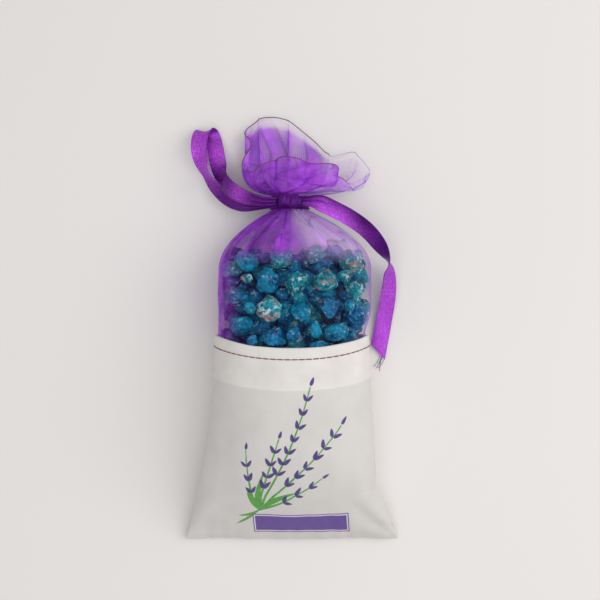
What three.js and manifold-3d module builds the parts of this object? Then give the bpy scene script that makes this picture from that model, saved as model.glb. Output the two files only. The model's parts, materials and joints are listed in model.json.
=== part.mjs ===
// Filled lavender sachet lying on its back: a cotton pocket, an organza top tied at the neck with satin ribbon,
// and scented granules inside. Millimetres, +Z up, +Y from the bottom seam to the mouth, print facing +Z.
import * as THREE from 'three';
import { mergeVertices } from 'three/addons/utils/BufferGeometryUtils.js';
import Module from 'manifold-3d';

const wasm = await Module();
wasm.setup();

// Cloth, thread and clearance
const COTTON_THICK = 0.5;
const ORGANZA_THICK = 0.3;
const THREAD_RADIUS = 0.25;
const CLEARANCE = 0.3;

// Cotton pocket
const POCKET_FLAT_WIDTH = 80;
const POCKET_HEIGHT = 75.7; // bottom seam to the hem edge, along the side seams
const HEM_DEPTH = 15; // cotton folded back inside the pocket
const HEM_STITCH_DROP = 4; // hem edge down to the topstitch
const HEM_SAG = 4; // the hem lies this much lower over the middle of the front
const HEM_LIFT = 0.9; // back of the hem clears the table by this much
const EAR_HEIGHT = 20; // the right bottom corner stands out as an ear below this height
const EAR_ROOT = 30.7; // from the middle to the right edge, just above that ear

// Filled body
const BODY_WIDTH = 55;
const BODY_DEPTH = 38;
const BELLY_HEIGHT = 62; // full depth is reached here
const SEAM_SHARE = 0.42; // side seams lie at this share of the depth
const RIGHT_BULGE = 2.4; // above the hem the bag bulges out to the right
const SHOULDER_HEIGHT = 99; // the body starts to draw in to the neck
const NECK_HEIGHT = 123.2;
const NECK_ASIDE = -0.7; // the neck lies a little left of the middle
const NECK_WIDTH = 13;
const NECK_DEPTH = 9;
const NECK_LEVEL = 11; // middle of the neck above the table

// Organza top
const SETTLE = 9; // above the hem the organza comes down onto the table over this length
const ORGANZA_TUCK = 10; // organza sewn in behind the cotton hem
const PLEAT_COUNT = 11;
const PLEAT_DEPTH = 1.3;
const PLEAT_REACH = 17; // pleats fade out this far from the neck

// Mouth of the ruffle, from the middle of the neck, counter-clockwise from the right seam over the front
const MOUTH = [
  [29.3, 12.2, -5], [26.5, 6.5, -1], [20.9, 6.6, 3.5], [17.2, 13, 5],
  [10.2, 14, 5], [1.9, 15.8, 5], [-6.3, 15.4, 4.5], [-14.2, 11.6, 3.2],
  [-17.3, 12.8, -0.8], [-17.2, 25, -6.5], [-13.5, 29.9, -8.3], [-7.8, 32.5, -8.6],
  [-0.5, 30.8, -8.6], [8, 24.3, -8.6], [15, 18.2, -8.6], [23.5, 19, -7.5],
].map((p) => new THREE.Vector3(...p));
const RUFFLE_SWELL = 1; // the ruffle swells out to this share of the mouth's reach before it turns up
const RUFFLE_RISE = 0.15;
const RUFFLE_CROWN = 5; // and its front stands up by this much on the way

// Satin ribbon
const RIBBON_WIDTH = 6;
const RIBBON_THICK = 0.4;
const WRAP_WIDTH = 4.6; // ribbon bunched up where it goes round the neck
const KNOT_LENGTH = 8.6;
const KNOT_WIDTH = 5;
const KNOT_HEIGHT = 4.2;

// Routes of the ribbon from the middle of the knot: x, y, z, then the direction across the ribbon
const LOOP_ROUTE = [
  [-4.7, 0, 0.6, 0, 1, 0.1], [-10.4, 0.2, -0.8, 0, 1, 0.3], [-16.2, 1.9, -3.4, 0.2, 0.9, 0.5],
  [-21.6, 5.2, -6.8, 0.5, 0.75, 0.55], [-24.9, 9.6, -10, 0.6, 0.35, 0.7], [-26.4, 15.4, -13, 1, 0.1, 0.1],
  [-27.6, 21.2, -15.2, 1, 0.2, -0.1], [-28.9, 25.4, -16, 1, 0.3, 0], [-30.8, 27, -14.4, 1, 0.3, 0],
  [-32.6, 25.6, -12.4, 1, 0.25, 0.2], [-33.2, 20.6, -11, 1, 0.1, 0.15], [-32.3, 15.4, -10.8, 0.8, 0, 0.55],
  [-30.2, 10.6, -11.2, 0.4, 0.25, 0.9], [-27, 6, -11.8, 0.5, 0.6, 0.75], [-23, 2.2, -10.4, 0.3, 0.85, 0.6],
  [-17.8, -0.4, -7.6, 0.1, 0.85, 0.5], [-12, -0.9, -4.8, 0, 0.95, 0.35], [-4.7, -0.6, -1.2, 0, 1, 0.1],
];
const TAIL_ROUTE = [
  [4.7, 0, 0.4, 0, 1, 0.1], [9.6, -0.2, 0.3, 0.1, 1, 0.2], [15.2, -2.5, -0.2, 0.3, 1, 0.3],
  [21.6, -5.8, -1.4, 0.5, 1, 0.3], [27.4, -9.8, -3.2, 0.75, 0.75, 0.4], [31.9, -14.6, -5.6, 0.9, 0.5, 0.7],
  [35, -19.8, -8.2, 0.25, 0.15, 1], [36.4, -25.6, -11, -0.75, -0.1, 0.75], [36.2, -33.6, -14, -1, -0.2, 0.3],
  [34.6, -43.6, -16.6, -1, -0.2, 0.1], [32.6, -54.4, -17.4, -1, -0.3, 0],
];
const TAIL_SLANT = 4.5; // the cut end runs this much longer on its outer edge

// Granules
const GRANULE_LARGE = 8.8; // across the biggest lumps
const GRANULE_SMALL = 4.4;
const GRANULE_COUNT = 38; // separate lumps under the front and round the right side
const GRANULE_TOP = 109; // the heap ends here, below the neck
const HEAP_RIGHT = -0.5; // angle from the right seam to the first lump, below the seam, and from the left seam
const HEAP_LEFT = 0.6; // to the last one: the heap has slid to the right
const BURIED_LARGE = 8.4; // lumps of the layer behind, fused with the core
const BURIED_SMALL = 6;
const BURIED_COUNT = 24;
const CORE_BOTTOM = 7;
const CORE_TOP = 103;

// Values that follow from the sizes above
const SEAM_GAP = 2 * (THREAD_RADIUS + CLEARANCE);
const ORGANZA_INSET = 2 * COTTON_THICK + CLEARANCE;
const FILL_INSET = ORGANZA_INSET + ORGANZA_THICK + CLEARANCE;
const FLAT_HALF_DEPTH = COTTON_THICK + 0.1;
const STEP = 0.05;
const NECK_LOW = NECK_HEIGHT - WRAP_WIDTH / 2 - CLEARANCE;
const NECK_HIGH = NECK_HEIGHT + WRAP_WIDTH / 2 + CLEARANCE;

const { lerp, clamp, smoothstep } = THREE.MathUtils;
const spread = (from, to, steps) => Array.from({ length: steps + 1 }, (_, i) => lerp(from, to, i / steps));

// Size of the bag across at a height above the bottom seam
function crossSize(height) {
  const flare = (1 - clamp(height / POCKET_HEIGHT, 0, 1)) ** 2;
  const ear = (1 - clamp(height / EAR_HEIGHT, 0, 1)) ** 0.85;
  const aboveEar = clamp((height - EAR_HEIGHT) / (POCKET_HEIGHT - EAR_HEIGHT), 0, 1);
  const swell = 1 - (1 - clamp(height / BELLY_HEIGHT, 0, 1)) ** 2.6;
  const drawn = clamp((height - SHOULDER_HEIGHT) / (NECK_LOW - SHOULDER_HEIGHT), 0, 1) ** 2;
  const loose = BODY_DEPTH - SEAM_GAP - 2 * FLAT_HALF_DEPTH;
  const neckHalf = (NECK_DEPTH - SEAM_GAP) / 2 + ORGANZA_INSET;
  const lift = HEM_LIFT * (smoothstep(height, POCKET_HEIGHT - HEM_DEPTH, POCKET_HEIGHT - HEM_STITCH_DROP)
    + 1 - smoothstep(height, 0, CORE_BOTTOM))
    - (HEM_LIFT + ORGANZA_INSET) * smoothstep(height, POCKET_HEIGHT, POCKET_HEIGHT + SETTLE);
  const down = FLAT_HALF_DEPTH + SEAM_SHARE * loose * swell;
  const up = FLAT_HALF_DEPTH + (1 - SEAM_SHARE) * loose * swell;
  const neckSide = NECK_WIDTH / 2 + ORGANZA_INSET;
  const bulge = RIGHT_BULGE * smoothstep(height, POCKET_HEIGHT, POCKET_HEIGHT + SETTLE);
  const right = lerp(lerp(EAR_ROOT, BODY_WIDTH / 2, aboveEar), POCKET_FLAT_WIDTH / 2, ear) + bulge;
  return {
    left: lerp(lerp(BODY_WIDTH, POCKET_FLAT_WIDTH, flare) / 2, neckSide, drawn),
    right: lerp(right, neckSide, drawn),
    up: lerp(up, neckHalf, drawn),
    down: lerp(down, neckHalf, drawn),
    aside: NECK_ASIDE * drawn,
    level: lerp(lift + down + SEAM_GAP / 2, NECK_LEVEL, drawn),
    flatness: swell * (1 - drawn),
  };
}

// Point of the bag's skin at a height and an angle round it, moved inwards by an inset
function skinPoint(height, angle, inset, gap) {
  const size = crossSize(height);
  const front = Math.sin(angle) >= 0;
  const squareness = front ? lerp(1, 0.92, size.flatness) : lerp(1, 0.6, size.flatness);
  const across = Math.sign(Math.cos(angle)) * Math.abs(Math.cos(angle)) ** squareness;
  const rise = Math.min(1, Math.abs(Math.sin(angle)) ** squareness * lerp(1, front ? 1 : 1.12, size.flatness));
  const nearNeck = smoothstep(height, NECK_LOW - PLEAT_REACH, NECK_LOW);
  const pleat = 0.5 * PLEAT_DEPTH * nearNeck * (1 - Math.cos(2 * PLEAT_COUNT * angle));
  const depth = (front ? size.up : size.down) - inset - pleat;
  const sag = smoothstep(height, 0, POCKET_HEIGHT) * (1 - smoothstep(height, POCKET_HEIGHT, NECK_HEIGHT));
  return new THREE.Vector3(
    size.aside + ((across < 0 ? size.left : size.right) - inset - pleat) * across,
    height - (front ? HEM_SAG * sag * rise ** 2 : 0),
    size.level + (front ? 1 : -1) * (gap / 2 + depth * rise),
  );
}

// Point of the ruffle: from the neck (share 0) to the mouth (share 1), swelling out between
const mouthCurve = new THREE.CatmullRomCurve3(MOUTH, true, 'centripetal');
function rufflePoint(share, angle, gap) {
  const turn = (angle / (2 * Math.PI)) % 1;
  const start = skinPoint(NECK_HIGH, angle, ORGANZA_INSET + ORGANZA_THICK / 2, gap);
  const side = Math.sin(angle) >= 0 ? 1 : -1;
  const end = mouthCurve.getPoint(turn).add(new THREE.Vector3(NECK_ASIDE, NECK_HEIGHT, NECK_LEVEL + side * gap / 2));
  const crown = RUFFLE_CROWN * Math.max(0, Math.sin(angle));
  const middle = new THREE.Vector3(lerp(start.x, end.x, RUFFLE_SWELL), lerp(start.y, end.y, RUFFLE_RISE),
    lerp(start.z, end.z, RUFFLE_SWELL) + crown);
  return new THREE.QuadraticBezierCurve3(start, middle, end).getPoint(share);
}

// Organza from the tuck behind the hem to the mouth: up to the neck reach is a height, then the share of the ruffle
const MOUTH_REACH = NECK_HIGH + 1;
function organzaPoint(reach, angle, gap) {
  if (reach > NECK_HIGH) return rufflePoint(reach - NECK_HIGH, angle, gap);
  return skinPoint(reach, angle, ORGANZA_INSET + ORGANZA_THICK / 2, gap);
}

// A sheet of cloth as a closed solid, from its middle surface and its offsets to the outer and inner face
function clothSolid(rows, columns, middle, outer, inner) {
  const grid = new THREE.BufferGeometry();
  const points = rows.flatMap((row) => columns.map((column) => middle(row, column)));
  const width = columns.length;
  const count = points.length;
  const face = [];
  for (let i = 0; i < rows.length - 1; i += 1) {
    for (let j = 0; j < width - 1; j += 1) {
      const a = i * width + j;
      face.push(a, a + width, a + width + 1, a, a + width + 1, a + 1);
    }
  }
  grid.setFromPoints(points).setIndex(face);
  grid.computeVertexNormals();
  const normals = points.map((_, k) => new THREE.Vector3().fromBufferAttribute(grid.attributes.normal, k));
  const faceSide = (offset) => points.map((p, k) =>
    p.clone().addScaledVector(normals[k], offset(rows[Math.floor(k / width)])));
  const rim = [];
  for (let j = 0; j < width; j += 1) rim.push(j);
  for (let i = 1; i < rows.length; i += 1) rim.push(i * width + width - 1);
  for (let j = width - 2; j >= 0; j -= 1) rim.push((rows.length - 1) * width + j);
  for (let i = rows.length - 2; i > 0; i -= 1) rim.push(i * width);
  const index = [...face];
  for (let k = 0; k < face.length; k += 3) index.push(face[k] + count, face[k + 2] + count, face[k + 1] + count);
  rim.forEach((a, k) => {
    const b = rim[(k + 1) % rim.length];
    index.push(a, b, b + count, a, b + count, a + count);
  });
  return new THREE.BufferGeometry().setFromPoints([...faceSide(outer), ...faceSide(inner)]).setIndex(index);
}

// A closed solid through rings of points, each ring with the same number of points
function ringSolid(rings) {
  const width = rings[0].length;
  const points = rings.flat();
  const index = [];
  for (let i = 0; i < rings.length - 1; i += 1) {
    for (let j = 0; j < width; j += 1) {
      const a = i * width + j;
      const b = i * width + (j + 1) % width;
      index.push(a, a + width, b + width, a, b + width, b);
    }
  }
  const last = (rings.length - 1) * width;
  for (let j = 1; j < width - 1; j += 1) {
    index.push(0, j, j + 1);
    index.push(last, last + j + 1, last + j);
  }
  return new THREE.BufferGeometry().setFromPoints(points).setIndex(index);
}

// Thread laid along a line of points, six-sided
function thread(points) {
  const side = new THREE.Vector3(0.3, 0.5, 0.8);
  const rings = points.map((point, k) => {
    const along = points[Math.min(k + 1, points.length - 1)].clone().sub(points[Math.max(k - 1, 0)]).normalize();
    side.addScaledVector(along, -side.dot(along)).normalize();
    const other = new THREE.Vector3().crossVectors(side, along);
    return spread(0, 2 * Math.PI, 6).slice(1).map((turn) => point.clone()
      .addScaledVector(side, THREAD_RADIUS * Math.cos(turn)).addScaledVector(other, THREAD_RADIUS * Math.sin(turn)));
  });
  return ringSolid(rings);
}

// Flat ribbon along a route, drawn together where it enters the knot, its free end cut on a slant
function ribbon(route, steps, knotted, slant) {
  const line = new THREE.CatmullRomCurve3(route.map(([x, y, z]) => new THREE.Vector3(x, y, z)), false, 'centripetal');
  const across = new THREE.CatmullRomCurve3(route.map(([, , , x, y, z]) => new THREE.Vector3(x, y, z).normalize()));
  const rings = [];
  for (let i = 0; i <= steps; i += 1) {
    const share = i / steps;
    const along = line.getTangent(share);
    const wide = across.getPoint(share);
    wide.addScaledVector(along, -wide.dot(along)).normalize();
    const thin = new THREE.Vector3().crossVectors(wide, along);
    const fromKnot = knotted(share);
    const half = lerp(KNOT_HEIGHT / 4, RIBBON_WIDTH / 2, smoothstep(fromKnot, 0, 0.25));
    const tilt = -slant * smoothstep(share, 0.8, 1) / RIBBON_WIDTH;
    const corner = (w, t) => line.getPoint(share)
      .addScaledVector(wide, w * half).addScaledVector(along, w * half * tilt)
      .addScaledVector(thin, t * RIBBON_THICK / 2);
    rings.push([corner(1, 1), corner(-1, 1), corner(-1, -1), corner(1, -1)]);
  }
  return ringSolid(rings);
}

const TINY = 1e-6;
const sides = { front: [0, Math.PI], back: [Math.PI + TINY, 2 * Math.PI] };

const bag = new THREE.Group();
function add(name, geometry, color, roughness) {
  const mesh = new THREE.Mesh(geometry, new THREE.MeshStandardMaterial({ color, roughness, metalness: 0 }));
  mesh.name = name;
  bag.add(mesh);
  return mesh;
}
const COTTON = 0xe6e1dd;
const ORGANZA = 0x7d3fae;
const STITCH = 0x6b3f58;
const WHITE_THREAD = 0xdcd8d4;
const SATIN = 0x7a2a9c;

// Cotton panels, double in the hem
const hemFold = POCKET_HEIGHT - HEM_DEPTH;
const cottonRows = [...spread(0, hemFold, 9), ...spread(hemFold + STEP, POCKET_HEIGHT, 4)];
const cottonInner = (height) => (height > hemFold ? -1.5 : -0.5) * COTTON_THICK;
for (const [side, [from, to]] of Object.entries(sides)) {
  add(`cotton_${side}_panel`, clothSolid(cottonRows, spread(from, to, 22),
    (height, angle) => skinPoint(height, angle, COTTON_THICK / 2, SEAM_GAP),
    () => COTTON_THICK / 2, cottonInner), COTTON, 0.9);
}

// Organza panels, pleated at the neck
const tuckHeight = POCKET_HEIGHT - ORGANZA_TUCK;
const ruffleRows = spread(NECK_HIGH, MOUTH_REACH, 8);
const organzaRows = [...spread(tuckHeight, POCKET_HEIGHT, 2), ...spread(POCKET_HEIGHT, SHOULDER_HEIGHT, 4).slice(1),
  ...spread(SHOULDER_HEIGHT, NECK_LOW, 6).slice(1), ...ruffleRows];
for (const [side, [from, to]] of Object.entries(sides)) {
  add(`organza_${side}_panel`, clothSolid(organzaRows, spread(from, to, 2 * PLEAT_COUNT),
    (reach, angle) => organzaPoint(reach, angle, SEAM_GAP),
    () => ORGANZA_THICK / 2, () => -ORGANZA_THICK / 2), ORGANZA, 0.6);
}

// Seam threads in the gap between the front and back edges
const cottonSeam = (angle) => spread(0.6, POCKET_HEIGHT - 0.4, 14)
  .map((height) => skinPoint(height, angle, COTTON_THICK / 2, 0));
add('cotton_right_seam', thread(cottonSeam(0)), WHITE_THREAD, 0.8);
add('cotton_left_seam', thread(cottonSeam(Math.PI)), WHITE_THREAD, 0.8);
const bottom = crossSize(0);
const bottomReach = bottom.left - COTTON_THICK - 2 * THREAD_RADIUS - CLEARANCE;
add('cotton_bottom_seam', thread(spread(-bottomReach, bottomReach, 8)
  .map((x) => new THREE.Vector3(x, THREAD_RADIUS + CLEARANCE, bottom.level))), WHITE_THREAD, 0.8);
const organzaSeam = (angle) => [...organzaRows.slice(0, -1), MOUTH_REACH - STEP]
  .map((reach) => organzaPoint(reach, angle, 0));
add('organza_right_seam', thread(organzaSeam(0)), SATIN, 0.6);
add('organza_left_seam', thread(organzaSeam(Math.PI)), SATIN, 0.6);

// Topstitch of the hem and edging of the mouth
const stitchHeight = POCKET_HEIGHT - HEM_STITCH_DROP;
for (const [side, [from, to]] of Object.entries(sides)) {
  add(`hem_stitch_${side}`, thread(spread(from + STEP, to - STEP, 20)
    .map((angle) => skinPoint(stitchHeight, angle, -CLEARANCE - THREAD_RADIUS, SEAM_GAP))), STITCH, 0.7);
  const lip = spread(from, to, 2 * PLEAT_COUNT).slice(1, -1);
  add(`mouth_edging_${side}`, thread([from + STEP, ...lip, to - STEP].map((angle) => {
    const edge = organzaPoint(MOUTH_REACH, angle, SEAM_GAP);
    const outwards = edge.clone().sub(organzaPoint(MOUTH_REACH - STEP, angle, SEAM_GAP));
    const along = organzaPoint(MOUTH_REACH, Math.min(angle + STEP, to), SEAM_GAP)
      .sub(organzaPoint(MOUTH_REACH, Math.max(angle - STEP, from), SEAM_GAP)).normalize();
    outwards.addScaledVector(along, -outwards.dot(along)).normalize();
    return edge.addScaledVector(outwards, THREAD_RADIUS + CLEARANCE);
  })), STITCH, 0.7);
}

// Ribbon round the neck, and the knot on top of it
const wrapInside = NECK_WIDTH / 2 + CLEARANCE;
const wrapOutside = wrapInside + RIBBON_THICK;
const wrapShape = [
  new THREE.Vector2(wrapInside, -WRAP_WIDTH / 2), new THREE.Vector2(wrapOutside, -WRAP_WIDTH / 2),
  new THREE.Vector2(wrapOutside, WRAP_WIDTH / 2), new THREE.Vector2(wrapInside, WRAP_WIDTH / 2),
];
const wrapFlattening = (NECK_DEPTH / 2 + CLEARANCE) / wrapInside;
add('ribbon_neck_wrap', new THREE.LatheGeometry([...wrapShape, wrapShape[0]], 36)
  .scale(1, 1, wrapFlattening).translate(NECK_ASIDE, NECK_HEIGHT, NECK_LEVEL), SATIN, 0.35);
const knotLevel = NECK_LEVEL + wrapOutside * wrapFlattening + CLEARANCE + KNOT_HEIGHT / 2;
const knotProfile = [[0, 0.5], [0.62, 0.5], [0.86, 0.36], [0.94, 0.16], [0.9, 0], [0.94, -0.16], [0.86, -0.36],
  [0.62, -0.5], [0, -0.5]].map(([r, h]) => new THREE.Vector2(r / 2, h));
const knot = new THREE.Vector3(NECK_ASIDE, NECK_HEIGHT, knotLevel);
add('ribbon_knot', new THREE.LatheGeometry(knotProfile.reverse(), 18).rotateZ(-Math.PI / 2)
  .scale(KNOT_LENGTH, KNOT_WIDTH / 0.94, KNOT_HEIGHT / 0.94).translate(...knot), SATIN, 0.35);

// Granules under the front of the organza, each against the cloth, big ones first and smaller ones in the gaps
function lump(number, radius, centre) {
  const shape = new THREE.IcosahedronGeometry(radius, 1);
  const place = shape.attributes.position;
  const corner = new THREE.Vector3();
  for (let k = 0; k < place.count; k += 1) {
    corner.fromBufferAttribute(place, k);
    const wave = Math.sin(corner.x * 1.7 + number) + Math.sin(corner.y * 1.3 + 2 * number) + Math.sin(corner.z + number);
    corner.multiplyScalar(0.94 + 0.02 * wave);
    place.setXYZ(k, corner.x, corner.y * 0.94, corner.z);
  }
  return shape.rotateX(number).rotateZ(2.3 * number).translate(...centre);
}
const liningOf = (from, to, steps) => spread(tuckHeight, NECK_LOW, 40).flatMap((height) => spread(from, to, steps)
  .map((angle) => skinPoint(height, angle, ORGANZA_INSET + ORGANZA_THICK, SEAM_GAP)));
const showingLining = liningOf(2 * HEAP_RIGHT, Math.PI, 58);
const roomAt = (point, lining) => Math.min(...lining.map((cloth) => cloth.distanceTo(point)));
function seatLump(height, angle, radius) {
  let inset = FILL_INSET + radius;
  for (let pass = 0; pass < 4; pass += 1) {
    inset += radius + CLEARANCE - roomAt(skinPoint(height, angle, inset, SEAM_GAP), showingLining);
  }
  return skinPoint(height, angle, inset, SEAM_GAP);
}
const scatter = (k, stride) => (0.5 + k * stride) % 1;
const tries = 2400;
const placed = [];
for (let k = 0; k < 5 * tries && placed.length < GRANULE_COUNT; k += 1) {
  const radius = lerp(GRANULE_LARGE, GRANULE_SMALL, Math.min(1, k / tries) ** 0.7) / 2;
  const angle = lerp(HEAP_RIGHT, Math.PI - HEAP_LEFT, scatter(k, 0.754878));
  const height = lerp(POCKET_HEIGHT - HEM_STITCH_DROP, GRANULE_TOP - radius, scatter(k, 0.56984));
  const centre = seatLump(height, angle, radius);
  const free = placed.every((other) => other.centre.distanceTo(centre) > other.radius + radius + CLEARANCE);
  if (free) placed.push({ centre, radius });
}
placed.forEach(({ centre, radius }, k) => {
  const tint = scatter(k, 0.618034);
  const color = tint > 0.86 ? 0x8a5a3c : tint > 0.74 ? 0xcfd6d8 : 0x0f6f8c;
  add(`granule_${String(k + 1).padStart(2, '0')}`, lump(k + 1, radius, centre), color, 0.55);
});

// Buried granules: one core that fills the pocket and carries the front layer
const coreRings = spread(CORE_BOTTOM, CORE_TOP, 16).map((height) => {
  const layer = (GRANULE_LARGE + CLEARANCE)
    * smoothstep(height, POCKET_HEIGHT - 2 * GRANULE_LARGE, POCKET_HEIGHT - GRANULE_LARGE);
  return spread(0, 2 * Math.PI, 24).slice(0, -1).map((angle) => {
    const sunk = FILL_INSET + (Math.sin(angle) > -STEP ? layer : 0);
    const point = skinPoint(height, angle, sunk, 0);
    if (Math.sin(angle) <= -STEP) point.x *= 1 - layer / crossSize(height).left;
    return point;
  });
});

// A closed mesh as a solid that can be joined, and back
function solidOf(geometry) {
  const bare = geometry.clone();
  bare.deleteAttribute('normal');
  bare.deleteAttribute('uv');
  const merged = bare.index ? bare : mergeVertices(bare);
  return new wasm.Manifold(new wasm.Mesh({
    numProp: 3, vertProperties: merged.attributes.position.array, triVerts: new Uint32Array(merged.index.array),
  }));
}
function geometryOf(solid) {
  const { vertProperties, triVerts } = solid.getMesh();
  const geometry = new THREE.BufferGeometry();
  geometry.setAttribute('position', new THREE.BufferAttribute(vertProperties, 3));
  return geometry.setIndex(new THREE.BufferAttribute(triVerts, 1));
}

// The core's upper end is knobbly with the lumps of the layer behind, in the gaps of the front layer
const wholeLining = liningOf(0, 2 * Math.PI, 88);
const buried = [];
for (let k = 0; k < 5 * tries && buried.length < BURIED_COUNT; k += 1) {
  const radius = lerp(BURIED_LARGE, BURIED_SMALL, Math.min(1, k / tries)) / 2;
  const angle = 2 * Math.PI * scatter(k, 0.754878);
  const height = lerp(POCKET_HEIGHT - HEM_STITCH_DROP, GRANULE_TOP - radius, scatter(k, 0.56984));
  const centre = skinPoint(height, angle, FILL_INSET + GRANULE_LARGE + 1 - radius + 3 * scatter(k, 0.438579), 0);
  const free = placed.every((other) => other.centre.distanceTo(centre) > other.radius + radius + CLEARANCE)
    && buried.every((other) => other.centre.distanceTo(centre) > 0.75 * (other.radius + radius))
    && roomAt(centre, wholeLining) > radius + CLEARANCE;
  if (free) buried.push({ centre, radius });
}
const core = buried.reduce((solid, { centre, radius }, k) => solid.add(solidOf(lump(k + 1, radius, centre))),
  solidOf(ringSolid(coreRings)));
add('granule_core', geometryOf(core), 0x0d5a74, 0.6);

// Origin under the middle of the bag, on the table
const box = new THREE.Box3().setFromObject(bag);
const middle = box.getCenter(new THREE.Vector3());

// Ribbon loop and tail, tied in at the two ends of the knot
const bothEnds = (share) => Math.min(share, 1 - share);
const nearEnd = (share) => share;
add('ribbon_loop', ribbon(LOOP_ROUTE, 40, bothEnds, 0).translate(...knot), SATIN, 0.35);
add('ribbon_tail', ribbon(TAIL_ROUTE, 26, nearEnd, TAIL_SLANT).translate(...knot), SATIN, 0.35);

bag.children.forEach((mesh) => mesh.geometry.translate(-middle.x, -middle.y, -box.min.z));

export default bag;
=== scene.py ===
"""Looks of the filled lavender sachet: cotton pocket, gathered organza top, satin ribbon, granules."""
import json
import math
import random

import bmesh
import bpy
import numpy as np
from mathutils import Euler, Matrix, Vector, noise
from mathutils.bvhtree import BVHTree


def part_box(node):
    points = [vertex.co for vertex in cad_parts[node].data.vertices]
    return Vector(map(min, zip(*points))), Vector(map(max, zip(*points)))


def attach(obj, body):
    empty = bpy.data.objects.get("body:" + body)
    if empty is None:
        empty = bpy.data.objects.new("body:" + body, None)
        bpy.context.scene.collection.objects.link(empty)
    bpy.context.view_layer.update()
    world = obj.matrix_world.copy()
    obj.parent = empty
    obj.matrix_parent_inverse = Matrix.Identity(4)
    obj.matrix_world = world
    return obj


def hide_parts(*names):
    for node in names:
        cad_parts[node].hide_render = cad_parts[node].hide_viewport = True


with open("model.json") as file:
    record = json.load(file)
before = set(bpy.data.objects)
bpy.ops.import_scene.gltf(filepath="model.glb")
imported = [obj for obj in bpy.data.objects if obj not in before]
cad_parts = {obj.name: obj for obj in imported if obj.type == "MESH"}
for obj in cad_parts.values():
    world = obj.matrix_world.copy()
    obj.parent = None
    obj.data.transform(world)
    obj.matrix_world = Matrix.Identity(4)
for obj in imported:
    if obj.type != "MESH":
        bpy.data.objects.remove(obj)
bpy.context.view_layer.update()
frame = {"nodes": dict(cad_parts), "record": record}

MM = 0.001  # the sizes below are in millimetres, the scene is in metres
ROOT = "root"
CLEARANCE = 0.3

# Cotton pocket
COTTON_THICK = 0.5
POCKET_FLAT_WIDTH = 80.0
POCKET_HEIGHT = 75.7  # bottom seam to the hem edge, along the side seams
HEM_DEPTH = 15.0  # cotton folded back inside the pocket
HEM_STITCH_DROP = 4.0  # hem edge down to the topstitch
HEM_SAG = 4.0  # the hem lies this much lower over the middle of the front
HEM_LIFT = 0.9  # back of the hem clears the table by this much
EAR_HEIGHT = 20.0  # the right bottom corner stands out as an ear below this height
EAR_ROOT = 30.7  # from the middle to the right edge, just above that ear
EAR_CURVE = 0.85
FLAT_HALF_DEPTH = 0.6  # at the bottom seam
BOTTOM_ROUND = 7.0  # the bottom edge rises off the table below this height

# Filled body
BODY_WIDTH = 55.0
BODY_DEPTH = 38.0
BELLY_HEIGHT = 62.0  # the full depth is reached here
SWELL_CURVE = 2.6
SEAM_SHARE = 0.42  # side seams lie at this share of the depth
SEAM_GAP = 1.1  # between the front and the back at the side seams
RIGHT_BULGE = 2.4  # above the hem the bag bulges out to the right
FRONT_SQUARENESS = 0.92  # the back lies flatter on the table than the front
BACK_SQUARENESS = 0.6
BACK_FULLNESS = 1.12
SHOULDER_HEIGHT = 99.0  # the body starts to draw in to the neck
NECK_HEIGHT = 123.2
NECK_ASIDE = -0.7
NECK_WIDTH = 13.0
NECK_DEPTH = 9.0
NECK_LEVEL = 11.0  # middle of the neck above the table
WRAP_WIDTH = 4.6  # ribbon bunched up where it goes round the neck
NECK_LOW = NECK_HEIGHT - WRAP_WIDTH / 2 - CLEARANCE
NECK_HIGH = NECK_HEIGHT + WRAP_WIDTH / 2 + CLEARANCE

# Organza top
ORGANZA_THICK = 0.3
ORGANZA_INSET = 2 * COTTON_THICK + CLEARANCE
ORGANZA_TUCK = 10.0  # organza sewn in behind the cotton hem
ORGANZA_SETTLE = 9.0  # above the hem the organza comes down onto the table over this length
ORGANZA_CUT = (80.0, 100.0)
RUFFLE_SWELL = 1.0  # the ruffle swells out to this share of the mouth's reach before it turns up
RUFFLE_RISE = 0.15  # by then it has gone this share of its way up,
RUFFLE_CROWN = 5.0  # and its front stands up by this much on the way
CLOTH_GAP = 0.35  # room between the front cloth and the granules under it

# Mouth of the ruffle from the middle of the neck, counter-clockwise from the right seam over the front
MOUTH = [
    (29.3, 12.2, -5), (26.5, 6.5, -1), (20.9, 6.6, 3.5), (17.2, 13, 5),
    (10.2, 14, 5), (1.9, 15.8, 5), (-6.3, 15.4, 4.5), (-14.2, 11.6, 3.2),
    (-17.3, 12.8, -0.8), (-17.2, 25, -6.5), (-13.5, 29.9, -8.3), (-7.8, 32.5, -8.6),
    (-0.5, 30.8, -8.6), (8, 24.3, -8.6), (15, 18.2, -8.6), (23.5, 19, -7.5),
]

# Satin ribbon, with its routes from the middle of the knot: x, y, z, then the direction across the ribbon
RIBBON_WIDTH = 6.0
LOOP_ROUTE = [
    (-4.7, 0, 0.6, 0, 1, 0.1), (-10.4, 0.2, -0.8, 0, 1, 0.3), (-16.2, 1.9, -3.4, 0.2, 0.9, 0.5),
    (-21.6, 5.2, -6.8, 0.5, 0.75, 0.55), (-24.9, 9.6, -10, 0.6, 0.35, 0.7), (-26.4, 15.4, -13, 1, 0.1, 0.1),
    (-27.6, 21.2, -15.2, 1, 0.2, -0.1), (-28.9, 25.4, -16, 1, 0.1, 0), (-30.8, 27, -14.4, 1, 0.04, 0),
    (-32.6, 25.6, -12.4, 1, 0.04, 0.2), (-33.2, 20.6, -11, 1, 0.1, 0.15), (-32.3, 15.4, -10.8, 0.8, 0, 0.55),
    (-30.2, 10.6, -11.2, 0.4, 0.25, 0.9), (-27, 6, -11.8, 0.5, 0.6, 0.75), (-23, 2.2, -10.4, 0.3, 0.85, 0.6),
    (-17.8, -0.4, -7.6, 0.1, 0.85, 0.5), (-12, -0.9, -4.8, 0, 0.95, 0.35), (-4.7, -0.6, -1.2, 0, 1, 0.1),
]
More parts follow.
